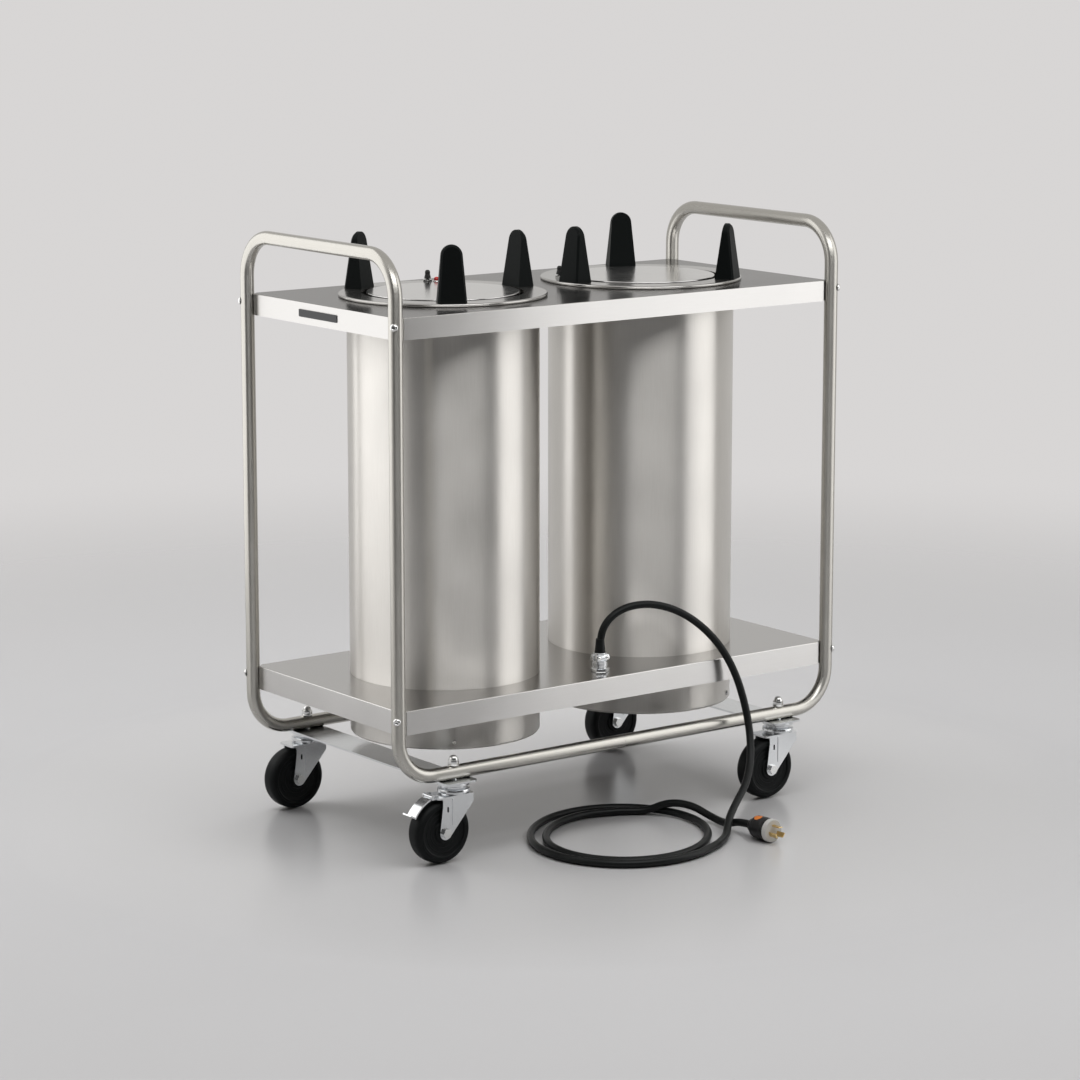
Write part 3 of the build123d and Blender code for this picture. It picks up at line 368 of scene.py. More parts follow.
def steelFinish(name, look):
    # brushed or polished metal: stretched scratches, cloudy roughness and bright edges painted as a
    # highlight
    material, tree, shader = newFinish(name)
    coords = tree.nodes.new("ShaderNodeTexCoord")
    mapping = tree.nodes.new("ShaderNodeMapping")
    mapping.inputs["Scale"].default_value = look["stretch"]
    tree.links.new(coords.outputs["Object"], mapping.inputs["Vector"])
    grain = useGroup(tree, brushGrain, Fineness=look["fineness"])
    tree.links.new(mapping.outputs["Vector"], grain.inputs["Vector"])
    wearAndHighlight = useGroup(tree, edgeWearAndHighlight, Radius=look["edgeRadius"], Amount=look["edgeAmount"])
    smears = useGroup(tree, dustAndSmears, Scale=look["smearScale"], Amount=look["smearAmount"])
    cloudy = blendColours(tree, grain.outputs["Cloud"], look["dark"], look["light"])
    streaky = blendColours(tree, grain.outputs["Scratch"], cloudy, look["light"])
    # the edge colour blended in here is a painted edge highlight
    edged = blendColours(tree, wearAndHighlight.outputs["Mask"], streaky, look["edge"])
    tree.links.new(edged, shader.inputs["Base Color"])
    smooth = rampBetween(tree, grain.outputs["Cloud"], noiseSpan, look["rough"])
    dulled = mathNode(tree, "MULTIPLY", smears.outputs["Mask"], look["smearDulls"])
    withSmears = mathNode(tree, "ADD", smooth, dulled)
    tree.links.new(withSmears, shader.inputs["Roughness"])
    normal = bumpFrom(tree, grain.outputs["Scratch"], look["bumpDepth"], look["bumpStrength"])
    tree.links.new(normal, shader.inputs["Normal"])
    shader.inputs["Metallic"].default_value = 1.0
    shader.inputs["Specular Tint"].default_value = (*look["grazing"], 1)
    if look["spread"]:
        # the grain runs level, so mirrored light spreads up and down, on upright faces alone
        upward = tree.nodes.new("ShaderNodeCombineXYZ")
        for axis, share in zip("XYZ", look["spreadAlong"]):
            upward.inputs[axis].default_value = share
        tree.links.new(upward.outputs["Vector"], shader.inputs["Tangent"])
        geometry = tree.nodes.new("ShaderNodeNewGeometry")
        split = tree.nodes.new("ShaderNodeSeparateXYZ")
        tree.links.new(geometry.outputs["True Normal"], split.inputs[0])
        level = mathNode(tree, "ABSOLUTE", split.outputs["Z"])
        upright = mathNode(tree, "SUBTRACT", 1.0, level, clamp=True)
        spread = mathNode(tree, "MULTIPLY", upright, look["spread"])
        tree.links.new(spread, shader.inputs["Anisotropic"])
        widened = mathNode(tree, "MULTIPLY", upright, look["spreadRough"])
        tree.links.new(mathNode(tree, "ADD", withSmears, widened), shader.inputs["Roughness"])
    return material


def plasticFinish(name, look):
    # moulded plastic or rubber: fine pores, slight colour change, dusty upper faces, lighter edges that are
    # partly rubbed wear and partly a painted highlight
    material, tree, shader = newFinish(name)
    coords = tree.nodes.new("ShaderNodeTexCoord")
    noise = tree.nodes.new("ShaderNodeTexNoise")
    noise.inputs["Scale"].default_value = look["poreScale"]
    noise.inputs["Detail"].default_value = 5
    tree.links.new(coords.outputs["Object"], noise.inputs["Vector"])
    wearAndHighlight = useGroup(tree, edgeWearAndHighlight, Radius=look["edgeRadius"], Amount=look["edgeAmount"])
    smears = useGroup(tree, dustAndSmears, Scale=look["smearScale"], Amount=look["smearAmount"])
    varied = blendColours(tree, noise.outputs["Fac"], look["dark"], look["light"])
    dusty = blendColours(tree, smears.outputs["Mask"], varied, look["dust"])
    # lighter edges: partly rubbed wear, partly a painted highlight
    edged = blendColours(tree, wearAndHighlight.outputs["Mask"], dusty, look["edge"])
    tree.links.new(edged, shader.inputs["Base Color"])
    rough = rampBetween(tree, noise.outputs["Fac"], noiseSpan, look["rough"])
    tree.links.new(rough, shader.inputs["Roughness"])
    shader.inputs["Specular IOR Level"].default_value = look["gloss"]
    normal = bumpFrom(tree, noise.outputs["Fac"], look["bumpDepth"], look["bumpStrength"])
    tree.links.new(normal, shader.inputs["Normal"])
    return material


def addPatch(material, setup):
    # a plain coloured patch painted over the base colour, bounded by a soft ellipse
    tree = material.node_tree
    baseColour = tree.nodes["Principled BSDF"].inputs["Base Color"]
    under = baseColour.links[0].from_socket
    coords = tree.nodes.new("ShaderNodeTexCoord")
    centred = tree.nodes.new("ShaderNodeMapping")
    centred.vector_type = "TEXTURE"
    centred.inputs["Location"].default_value = setup["centre"]
    centred.inputs["Scale"].default_value = setup["radii"]
    tree.links.new(coords.outputs["Object"], centred.inputs["Vector"])
    reach = vectorLength(tree, centred.outputs["Vector"])
    mask = rampBetween(tree, reach, setup["rim"], (1, 0))
    tree.links.new(blendColours(tree, mask, under, setup["colour"]), baseColour)


def metalLook(dark, light, rough, **changes):
    look = {
        # edge is the bright colour of the painted edge highlight on metal
        "dark": dark, "light": light, "edge": (0.92, 0.92, 0.91), "rough": rough,
        "stretch": (1, 1, 1), "fineness": 400.0,
        "edgeRadius": 0.0012, "edgeAmount": 0.5,
        "smearScale": 11.0, "smearAmount": 0.4, "smearDulls": 0.12,
        "bumpDepth": 0.0002, "bumpStrength": 0.1,
        "grazing": (1.0, 1.0, 1.0),  # tint of light that skims the metal
        "spread": 0.0, "spreadRough": 0.0,  # how far upright faces smear mirrored light
        "spreadAlong": (0.04, 0.03, 1.0),  # just off upright, so that it lies along no face's normal
    }
    look.update(changes)
    return look


def plasticLook(dark, light, rough, **changes):
    look = {
        # edge is the lighter edge colour, partly rubbed wear and partly a painted highlight
        "dark": dark, "light": light, "edge": (0.09, 0.09, 0.09), "dust": (0.12, 0.115, 0.11),
        "rough": rough, "poreScale": 700.0, "edgeRadius": 0.0012, "edgeAmount": 0.35,
        "smearScale": 16.0, "smearAmount": 0.12,
        "bumpDepth": 0.0003, "bumpStrength": 0.12, "gloss": 0.3,
    }
    look.update(changes)
    return look


tubeSteel = steelFinish("tubeSteel", metalLook(
    (0.42, 0.41, 0.38), (0.51, 0.495, 0.46), (0.12, 0.18), stretch=(1.0, 1.0, 0.06), fineness=900.0,
    bumpDepth=0.0001, bumpStrength=0.06, spread=0.85, spreadRough=0.2))
deckSteel = steelFinish("deckSteel", metalLook(
    (0.54, 0.53, 0.515), (0.63, 0.62, 0.61), (0.13, 0.20), stretch=(0.03, 1.0, 1.0), fineness=900.0,
    bumpDepth=0.0001, bumpStrength=0.05, grazing=(0.85, 0.85, 0.85), spread=0.9, spreadRough=0.15))
# upper deck: a darker copy of the deck steel, with a weaker grazing tint, as painted shade on the upper
# deck
upperDeckShadedSteel = steelFinish("upperDeckShadedSteel", metalLook(
    (0.52, 0.51, 0.495), (0.60, 0.59, 0.58), (0.13, 0.20), stretch=(0.03, 1.0, 1.0), fineness=900.0,
    bumpDepth=0.0001, bumpStrength=0.05, grazing=(0.56, 0.56, 0.56), spread=0.9, spreadRough=0.15))
columnSteel = steelFinish("columnSteel", metalLook(
    (0.55, 0.53, 0.495), (0.71, 0.69, 0.66), (0.35, 0.47), stretch=(1.0, 1.0, 0.02), fineness=1100.0,
    bumpDepth=0.0003, bumpStrength=0.2, spread=0.92))
ringSteel = steelFinish("ringSteel", metalLook(
    (0.40, 0.39, 0.375), (0.48, 0.47, 0.455), (0.16, 0.24), fineness=300.0,
    edge=(0.6, 0.6, 0.59), edgeAmount=0.2))
carrierSteel = steelFinish("carrierSteel", metalLook(
    (0.62, 0.61, 0.60), (0.72, 0.71, 0.70), (0.14, 0.22), stretch=(1.0, 0.04, 1.0), fineness=700.0))
zincPlate = steelFinish("zincPlate", metalLook(
    (0.56, 0.575, 0.59), (0.76, 0.775, 0.79), (0.12, 0.22), fineness=260.0,
    bumpDepth=0.0003, bumpStrength=0.12, edgeAmount=0.7))
screwSteel = steelFinish("screwSteel", metalLook(
    (0.66, 0.66, 0.66), (0.80, 0.80, 0.79), (0.14, 0.24), fineness=500.0, edgeAmount=0.8))
springSteel = steelFinish("springSteel", metalLook(
    (0.30, 0.29, 0.28), (0.45, 0.44, 0.42), (0.30, 0.45), fineness=500.0))
heaterTube = steelFinish("heaterTube", metalLook(
    (0.10, 0.09, 0.085), (0.20, 0.17, 0.15), (0.40, 0.60), fineness=300.0, edge=(0.35, 0.32, 0.3)))
bladeBrass = steelFinish("bladeBrass", metalLook(
    (0.66, 0.45, 0.16), (0.85, 0.64, 0.30), (0.16, 0.28), fineness=500.0, edge=(0.97, 0.82, 0.5)))

blackPlastic = plasticFinish("blackPlastic", plasticLook(
    (0.0028, 0.0040, 0.0039), (0.0055, 0.0072, 0.0070), (0.36, 0.48),
    edge=(0.018, 0.021, 0.021), gloss=0.07, smearAmount=0.02))
blackRubber = plasticFinish("blackRubber", plasticLook(
    (0.005, 0.005, 0.005), (0.010, 0.010, 0.010), (0.42, 0.56)))
treadRubber = plasticFinish("treadRubber", plasticLook(
    (0.004, 0.0048, 0.005), (0.009, 0.0105, 0.011), (0.36, 0.52), smearAmount=0.04, poreScale=500.0,
    edge=(0.025, 0.027, 0.027), gloss=0.12))
cordJacket = plasticFinish("cordJacket", plasticLook(
    (0.0045, 0.0055, 0.0055), (0.009, 0.0105, 0.0105), (0.34, 0.46),
    poreScale=900.0, smearAmount=0.02, gloss=0.2))
redLens = plasticFinish("redLens", plasticLook(
    (0.42, 0.008, 0.006), (0.60, 0.015, 0.01), (0.08, 0.14), edge=(0.85, 0.15, 0.1), bumpStrength=0.03,
    smearAmount=0.02, gloss=0.5))
plateGrey = plasticFinish("plateGrey", plasticLook(
    (0.030, 0.032, 0.035), (0.042, 0.044, 0.048), (0.30, 0.40), edge=(0.25, 0.25, 0.26), edgeAmount=0.6))
patchSetup = {
    "centre": (0.1225, -0.407, 0.0375),
    "radii": (0.0075, 0.0072, 0.0075),
    "rim": (0.94, 1.0),  # where the paint starts and ends to thin out, as shares of the radii
    "colour": (0.85, 0.25, 0.04),
}
plugShell = plasticFinish("plugShell", plasticLook(
    (0.007, 0.007, 0.0075), (0.013, 0.013, 0.014), (0.30, 0.42), poreScale=900.0, smearAmount=0.05))
addPatch(plugShell, patchSetup)
plugWhite = plasticFinish("plugWhite", plasticLook(
    (0.66, 0.65, 0.62), (0.76, 0.75, 0.72), (0.25, 0.36), edge=(0.8, 0.8, 0.78), bumpStrength=0.05,
    dust=(0.5, 0.48, 0.45)))
bushingPlastic = plasticFinish("bushingPlastic", plasticLook(
    (0.62, 0.60, 0.55), (0.72, 0.70, 0.66), (0.35, 0.45),
    edge=(0.8, 0.78, 0.74), dust=(0.4, 0.38, 0.35)))
print("finishes mixed")

corners = {  # the upright line that each caster turns about
    "front_left": (-0.3327, -0.2085),
    "front_right": (0.3327, -0.2085),
    "back_left": (-0.3327, 0.2085),
    "back_right": (0.3327, 0.2085),
}
nodeFinish = {
    "frame_tube_left": tubeSteel, "frame_tube_right": tubeSteel, "joint_sleeves": zincPlate,
    "upper_deck": upperDeckShadedSteel, "lower_deck": deckSteel, "deck_bolts": screwSteel, "deck_nuts": zincPlate,
    "cross_plate_left": zincPlate, "cross_plate_right": zincPlate, "caster_stems": zincPlate,
    "rail_nuts": screwSteel, "caster_races": zincPlate, "nameplate": plateGrey,
    "junction_box": zincPlate, "junction_cover": zincPlate, "conduits": zincPlate,
    "cord_grip": zincPlate, "grip_screws": screwSteel, "power_cord": cordJacket, "cord_coil": cordJacket,
    "cord_tail": cordJacket, "plug_body": blackRubber, "plug_face": plugWhite, "plug_blades": bladeBrass,
    "column_shell_left": columnSteel, "column_shell_right": columnSteel,
    "base_pan_left": columnSteel, "base_pan_right": columnSteel, "pan_screws": screwSteel,
    "flange_ring_left": ringSteel, "flange_ring_right": ringSteel,
    "plate_guides_left": blackPlastic, "plate_guides_right": blackPlastic, "guide_rods": screwSteel,
    "heaters": heaterTube, "thermostats": zincPlate, "switch_bodies": screwSteel, "pilot_lamps": redLens,
    "carrier_springs_left": springSteel, "carrier_springs_right": springSteel,
    "carrier_left": carrierSteel, "carrier_right": carrierSteel,
    "carrier_bushings_left": bushingPlastic, "carrier_bushings_right": bushingPlastic,
    "switch_lever_left": blackRubber, "switch_lever_right": blackRubber,
}
for corner in corners:
    nodeFinish["fork_" + corner] = zincPlate
    nodeFinish["wheel_" + corner] = treadRubber
    nodeFinish["wheel_axle_" + corner] = screwSteel
for corner in ("front_left", "back_right"):
    nodeFinish["brake_" + corner] = zincPlate
for nodeName in nodes:
    dressNode(nodeName, nodeFinish[nodeName])
print("nodes dressed")

# turned pieces: a circle extruded and resized ring by ring, as on a lathe


def turnedPiece(name, rings, sides=48, hollow=False, softAngle=34):
    clearSelection()
    radius, height = rings[0]
    disc = "NOTHING" if hollow else "NGON"
    bpy.ops.mesh.primitive_circle_add(
        vertices=sides, radius=radius, fill_type=disc, location=(0, 0, height))
    piece = settle(bpy.context.active_object, name)
    bpy.ops.object.mode_set(mode="EDIT")
    bpy.ops.mesh.select_all(action="SELECT")
    for (before, low), (after, high) in zip(rings, rings[1:]):
        bpy.ops.mesh.extrude_region_move(TRANSFORM_OT_translate={"value": (0, 0, high - low)})
        grow = after / before
        bpy.ops.transform.resize(value=(grow, grow, 1), center_override=(0, 0, high))
    bpy.ops.mesh.select_all(action="SELECT")
    if hollow:
        bpy.ops.mesh.remove_doubles(threshold=0.00001)
    bpy.ops.mesh.normals_make_consistent(inside=False)
    bpy.ops.object.mode_set(mode="OBJECT")
    bpy.ops.object.shade_smooth_by_angle(angle=math.radians(softAngle))
    return piece


def placeCopy(pattern, name, place, direction=(0, 0, 1)):
    # a copy with its own mesh, its Z turned to the direction, its place baked in
    piece = pattern.copy()
    piece.data = pattern.data.copy()
    bpy.context.scene.collection.objects.link(piece)
    piece.location = place
    piece.rotation_euler = Vector(direction).to_track_quat("Z", "Y").to_euler()
    return settle(piece, name)


def scrap(pattern):
    mesh = pattern.data
    bpy.data.objects.remove(pattern)
    bpy.data.meshes.remove(mesh)


def weld(name, pieces):
    # join a few shapes into one piece
    clearSelection()
    for piece in pieces:
        piece.select_set(True)
    bpy.context.view_layer.objects.active = pieces[0]
    bpy.ops.object.join()
    return settle(bpy.context.active_object, name)


def soften(piece, bevel, segments, softAngle):
    # round every edge of the active piece
    softener = piece.modifiers.new("softener", "BEVEL")
    softener.width = bevel
    softener.segments = segments
    bpy.ops.object.modifier_apply(modifier="softener")
    bpy.ops.object.shade_smooth_by_angle(angle=math.radians(softAngle))


def softBlock(name, size, place, bevel):
    clearSelection()
    bpy.ops.mesh.primitive_cube_add(size=1, location=place, scale=size)
    block = settle(bpy.context.active_object, name)
    soften(block, bevel, 3, 40)
    return block


def softHexagon(name, acrossFlats, high, place, bevel):
    clearSelection()
    bpy.ops.mesh.primitive_cylinder_add(
        vertices=6, radius=acrossFlats / math.sqrt(3), depth=high, location=place)
    hexagon = settle(bpy.context.active_object, name)
    soften(hexagon, bevel, 2, 30)
    return hexagon


# wheels: crowned tread, raised rings on the web, a hub with a bore

wheelSetup = {
    "axleHeight": 0.0508,
    "trail": 0.0286,
    "half": [  # radius and distance from the middle plane, from the tread to the bore
        (0.0508, 0.0000), (0.0508, 0.0052), (0.0505, 0.0080), (0.0496, 0.0106), (0.0481, 0.0130),
        (0.0460, 0.0147), (0.0436, 0.0154), (0.0424, 0.0155), (0.0421, 0.0150), (0.0418, 0.0150),
        (0.0415, 0.0155), (0.0396, 0.0155), (0.0384, 0.0148), (0.0376, 0.0131), (0.0366, 0.0127),
        (0.0322, 0.0127), (0.0318, 0.0132), (0.0312, 0.0132), (0.0308, 0.0127), (0.0248, 0.0127),
        (0.0244, 0.0132), (0.0238, 0.0132), (0.0234, 0.0127), (0.0180, 0.0128), (0.0168, 0.0136),
        (0.0160, 0.0153), (0.0124, 0.0156), (0.0119, 0.0160), (0.0117, 0.0166), (0.0052, 0.0166),
        (0.0048, 0.0162), (0.0048, 0.0000),
    ],
}


def makeWheels(setup):
    half = setup["half"]
    other = [(radius, -height) for radius, height in reversed(half[1:-1])]
    rings = half + other + [half[0]]
    pattern = turnedPiece("wheelPattern", rings, sides=96, hollow=True, softAngle=28)
    for corner, (x, y) in corners.items():
        hub = (x - setup["trail"], y, setup["axleHeight"])
        wheel = placeCopy(pattern, "tyre_" + corner, hub, (0, -1, 0))
        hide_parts("wheel_" + corner)
        fit(wheel, treadRubber, "roller_" + corner)
    scrap(pattern)


makeWheels(wheelSetup)
print("wheels turned")

# fixed half of each swivel: a top plate over a stepped ball cup

raceSetup = {
    "rings": [
        (0.0222, 0.1106), (0.0252, 0.1105), (0.0260, 0.1112), (0.0260, 0.1152), (0.0256, 0.1162),
        (0.0240, 0.1170), (0.0214, 0.1176), (0.0206, 0.1186), (0.0206, 0.1204), (0.0214, 0.1214),
        (0.0250, 0.1220), (0.0260, 0.1226), (0.0260, 0.1252), (0.0254, 0.1260), (0.0060, 0.1260),
        (0.0055, 0.1255), (0.0055, 0.1140), (0.0180, 0.1140), (0.0212, 0.1128), (0.0222, 0.1106),
    ],
}


def makeRaces(setup):
    pattern = turnedPiece("racePattern", setup["rings"], sides=72, hollow=True)
    for corner, (x, y) in corners.items():
        race = placeCopy(pattern, "race_" + corner, (x, y, 0))
        fit(race, zincPlate, "chassis")
        if corner == "front_left":
            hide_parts("caster_races")
    scrap(pattern)


makeRaces(raceSetup)
print("swivel races turned")

# acorn nuts on the bottom rails: a washer, a chamfered hexagon and a dome

acornSetup = {
    "seat": 0.1516,
    "acrossFlats": 0.0155,
    "washer": [(0.0086, 0.0000), (0.0090, 0.0003), (0.0090, 0.0011), (0.0086, 0.0014)],
    "hexagon": (0.0012, 0.0088),  # its foot, inside the washer, and its top
    "hexBevel": 0.0007,
    "dome": [
        (0.0072, 0.0080), (0.0070, 0.0094), (0.0067, 0.0106), (0.0064, 0.0120), (0.0058, 0.0134),
        (0.0048, 0.0146), (0.0034, 0.0155), (0.0018, 0.0160), (0.0004, 0.0161),
    ],
}


def makeAcornNuts(setup):
    washer = turnedPiece("acornWasher", setup["washer"])
    foot, top = setup["hexagon"]
    hexagon = softHexagon(
        "acornHexagon", setup["acrossFlats"], top - foot, (0, 0, top / 2 + foot / 2), setup["hexBevel"])
    dome = turnedPiece("acornDome", setup["dome"])
    pattern = weld("acornPattern", [hexagon, washer, dome])
    for corner, (x, y) in corners.items():
        nut = placeCopy(pattern, "acornNut_" + corner, (x, y, setup["seat"]))
        fit(nut, screwSteel, "chassis")
        if corner == "front_left":
            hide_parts("rail_nuts")
    scrap(pattern)


makeAcornNuts(acornSetup)
print("acorn nuts turned")

# deck bolts: button heads with a round socket, on shanks that run in through the uprights

boltSetup = {
    "upright": (0.436, 0.2085),
    "heights": (0.2373, 0.8465),
    "seat": 0.0112,  # underside of the head, out from the upright's axis
    "rings": [
        (0.0024, -0.0295), (0.0025, -0.0290), (0.0025, 0.0000), (0.0060, 0.0000), (0.0062, 0.0003),
        (0.0061, 0.0010), (0.0056, 0.0020), (0.0046, 0.0029), (0.0036, 0.0034), (0.0030, 0.0035),
        (0.0027, 0.0033), (0.0026, 0.0018), (0.0004, 0.0015),
    ],
}


def makeDeckBolts(setup):
    pattern = turnedPiece("boltPattern", setup["rings"], sides=40)
    first = True
    for left, leftWord in ((-1, "left"), (1, "right")):
        for front, frontWord in ((-1, "front"), (1, "back")):
            outward = Vector((left, front, 0)).normalized()
            for level, height in enumerate(setup["heights"]):
                axis = Vector((left * setup["upright"][0], front * setup["upright"][1], height))
                label = f"deckBolt_{leftWord}_{frontWord}_{level}"
                bolt = placeCopy(pattern, label, axis + outward * setup["seat"], outward)
                fit(bolt, screwSteel, "chassis")
                if first:
                    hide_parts("deck_bolts")
                    first = False
    scrap(pattern)


makeDeckBolts(boltSetup)
print("deck bolts turned")

# cord grip: hexagon, threaded barrel, two clamp halves with ears and screws, and a rubber cone

gripSetup = {
    "centre": (-0.0095, -0.164),
    "deck": 0.2494,
    "hexagon": (0.0270, 0.0060),  # across its flats, and high
    "hexBevel": 0.0009,
    "barrel": [
        (0.0100, -0.0128), (0.0100, 0.0050), (0.0118, 0.0058), (0.0118, 0.0078), (0.0110, 0.0084),
        (0.0110, 0.0096), (0.0122, 0.0102), (0.0122, 0.0150), (0.0116, 0.0156), (0.0116, 0.0186),
    ],
    "half": (0.0250, 0.0088, 0.0106),
    "halfBevel": 0.0022,
    "halfGap": 0.0012,
    "halfFoot": 0.0182,  # underside of the clamp halves, over the deck
    "collar": [
        (0.0068, 0.0282), (0.0104, 0.0282), (0.0109, 0.0288), (0.0109, 0.0308), (0.0104, 0.0314),
        (0.0072, 0.0314), (0.0068, 0.0310), (0.0068, 0.0282),
    ],
    "screwOffset": 0.008428,
    "screwGap": 0.0001,
    "screw": [
        (0.0018, -0.0160), (0.0018, 0.0000), (0.0030, 0.0000), (0.0034, 0.0004), (0.0033, 0.0014),
        (0.0026, 0.0021), (0.0014, 0.0024), (0.0003, 0.0025),
    ],
    "cone": [
        (0.0064, -0.0100), (0.0090, -0.0100), (0.0090, 0.0010), (0.0086, 0.0030), (0.0078, 0.0100),
        (0.0072, 0.0180), (0.0069, 0.0220), (0.0064, 0.0222), (0.0064, -0.0100),
    ],
    "coneSeat": 0.0317,  # shoulder of the cone, over the deck
}


def makeGrip(setup):
    x, y = setup["centre"]
    deck = setup["deck"]
    flats, high = setup["hexagon"]
    hexagon = softHexagon("gripHexagon", flats, high, (x, y, deck + high / 2), setup["hexBevel"])
    barrelPattern = turnedPiece("gripBarrelPattern", setup["barrel"])
    barrel = placeCopy(barrelPattern, "gripBarrel", (x, y, deck))
    collarPattern = turnedPiece("gripCollarPattern", setup["collar"], hollow=True)
    collar = placeCopy(collarPattern, "gripCollar", (x, y, deck))
    shapes = [hexagon, barrel, collar]
    depth, tall = setup["half"][1:]
    halfLevel = deck + setup["halfFoot"] + tall / 2
    for side in (-1, 1):
        middle = (x, y + side * (depth + setup["halfGap"]) / 2, halfLevel)
        shapes.append(softBlock("gripHalf", setup["half"], middle, setup["halfBevel"]))
    grip = weld("clampGrip", shapes)
    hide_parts("cord_grip")
    fit(grip, zincPlate, "chassis")
    screwPattern = turnedPiece("gripScrewPattern", setup["screw"], sides=32)
    screwFace = y - depth - setup["halfGap"] / 2 - setup["screwGap"]
    for side, offset in (("left", -setup["screwOffset"]), ("right", setup["screwOffset"])):
        screw = placeCopy(screwPattern, "gripScrew_" + side, (x + offset, screwFace, halfLevel), (0, -1, 0))
        fit(screw, screwSteel, "chassis")
        if side == "left":
            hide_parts("grip_screws")
    conePattern = turnedPiece("gripConePattern", setup["cone"], hollow=True)
    cone = placeCopy(conePattern, "strainRelief", (x, y, deck + setup["coneSeat"]))
    fit(cone, cordJacket, "chassis")
    for pattern in (barrelPattern, collarPattern, screwPattern, conePattern):
        scrap(pattern)


makeGrip(gripSetup)
print("cord grip built")

# switch levers in ribbed rubber boots, and bright rims round the lamps

leverSetup = {
    "circle": 0.141,
    "turn": {"left": 65.0, "right": 160.0},
    "column": {"left": -0.2007, "right": 0.2007},
    "rings": [
        (0.0020, 0.8620), (0.0022, 0.8622), (0.0022, 0.8696), (0.0054, 0.8697), (0.0056, 0.8700),
        (0.0056, 0.8710), (0.0050, 0.8716), (0.0048, 0.8721), (0.0053, 0.8727), (0.0053, 0.8732),
        (0.0046, 0.8738), (0.0044, 0.8742), (0.0048, 0.8748), (0.0047, 0.8753), (0.0041, 0.8760),
        (0.0040, 0.8768), (0.0042, 0.8780), (0.0042, 0.8800), (0.0039, 0.8814), (0.0032, 0.8826),
        (0.0020, 0.8834), (0.0004, 0.8837),
    ],
}
lampSetup = {
    "turn": {"left": 59.0, "right": 168.0},
    "rings": [
        (0.0048, 0.8641), (0.0062, 0.8641), (0.0063, 0.8645), (0.0061, 0.8656), (0.0055, 0.8663),
        (0.0050, 0.8664), (0.0048, 0.8661), (0.0048, 0.8641),
    ],
}


def spotOnFlange(column, circle, turn):
    angle = math.radians(turn)
    return (column + circle * math.cos(angle), circle * math.sin(angle), 0)


def makeLevers(levers, lamps):
    leverPattern = turnedPiece("leverPattern", levers["rings"], sides=40)
    rimPattern = turnedPiece("lampRimPattern", lamps["rings"], sides=40, hollow=True)
    for side, column in levers["column"].items():
        leverSpot = spotOnFlange(column, levers["circle"], levers["turn"][side])
        boot = placeCopy(leverPattern, "leverBoot_" + side, leverSpot)
        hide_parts("switch_lever_" + side)
        fit(boot, blackRubber, "lever_" + side)
        lampSpot = spotOnFlange(column, levers["circle"], lamps["turn"][side])
        rim = placeCopy(rimPattern, "lampRim_" + side, lampSpot)
        fit(rim, screwSteel, "chassis")
    scrap(leverPattern)
    scrap(rimPattern)


makeLevers(leverSetup, lampSetup)
print("levers and lamp rims turned")

# plug body with a tapered neck, grip ribs and a rim

plugSetup = {
    "start": (0.1260, -0.3860, 0.0190),
    "axis": (0.0712, -0.9975, 0.0),
    "rings": [
        (0.0068, 0.0001), (0.0092, 0.0002), (0.0104, 0.0012), (0.0112, 0.0028), (0.0113, 0.0040),
        (0.0108, 0.0044), (0.0110, 0.0052), (0.0126, 0.0068), (0.0152, 0.0092), (0.0172, 0.0118),
        (0.0181, 0.0142), (0.0181, 0.0160), (0.0177, 0.0164), (0.0177, 0.0172), (0.0182, 0.0176),
        (0.0185, 0.0200), (0.0187, 0.0260), (0.0187, 0.0330), (0.0183, 0.0334), (0.0183, 0.0342),
        (0.0187, 0.0346), (0.0187, 0.0412), (0.0184, 0.0420),
    ],
}


def makePlug(setup):
    pattern = turnedPiece("plugPattern", setup["rings"], sides=64)
    body = placeCopy(pattern, "plugShell", setup["start"], setup["axis"])
    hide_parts("plug_body")
    fit(body, plugShell, "chassis")
    scrap(pattern)
    return body


plugPiece = makePlug(plugSetup)
print("plug turned")

powerCord.data.materials.append(cordJacket)
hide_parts("power_cord", "cord_coil", "cord_tail")
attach(powerCord, "chassis")

# studio: a pale floor that fades into a pale backdrop, three soft boxes and four cards

studioSetup = {
    "floorSize": 16,
    "floorLevel": -0.0006,
    "floorColour": (0.68, 0.675, 0.68),
    "floorCloud": (1.2, 1.03),  # scale of the paler clouds, and how much paler they are
    "floorRoughness": 0.24,
    "floorGloss": 0.42,
    "glossFades": (0.5, 0.95),  # metres from the middle between which the shine fades
    "floorFades": (0.7, 3.4),  # metres from the middle between which the floor itself fades
    "backColour": (0.685, 0.67, 0.665),
    "roomColour": (0.66, 0.65, 0.635),  # what polished metal sees of the room
    "darkColour": (0.07, 0.07, 0.07),  # the unlit side of the room
    "darkSide": (-0.375, -0.927, 0.0),
    "darkSpread": (0.40, 0.62),  # how much a direction shares with that side, pale and then dark
    "fillStrength": 0.11,
}
softBoxes = {
    "rightBox": {"place": (0.9, -2.2, 2.6), "target": (0, -0.3, 0), "size": (1.6, 1.6), "watts": 18},
    "leftBox": {"place": (-1.8, 1.8, 2.6), "target": (-0.2, 0, 0), "size": (1.6, 1.6), "watts": 16},
    "topBox": {"place": (0.0, 0.3, 3.2), "target": (0, 0, 0.4), "size": (4.5, 4.0), "watts": 108},
}
# pale cards close to the cart, seen in polished metal alone
cards = {
    "rightCard": {
        "place": (1.17, -1.085, 1.0), "target": (0.40, -0.165, 1.0), "size": (1.2, 2.2), "watts": 9.6,
    },
    "leftCard": {
        "place": (-0.89, 0.425, 1.24), "target": (-0.216, -0.314, 1.24), "size": (1.11, 1.9), "watts": 7.1,
    },
    "frontCard": {"place": (-0.75, -2.45, 2.75), "target": (0, 0, 0.6), "size": (3.6, 1.5), "watts": 58},
    "topCard": {"place": (0.0, 0.3, 3.2), "target": (0, 0, 0.4), "size": (4.5, 4.0), "watts": 38},
}


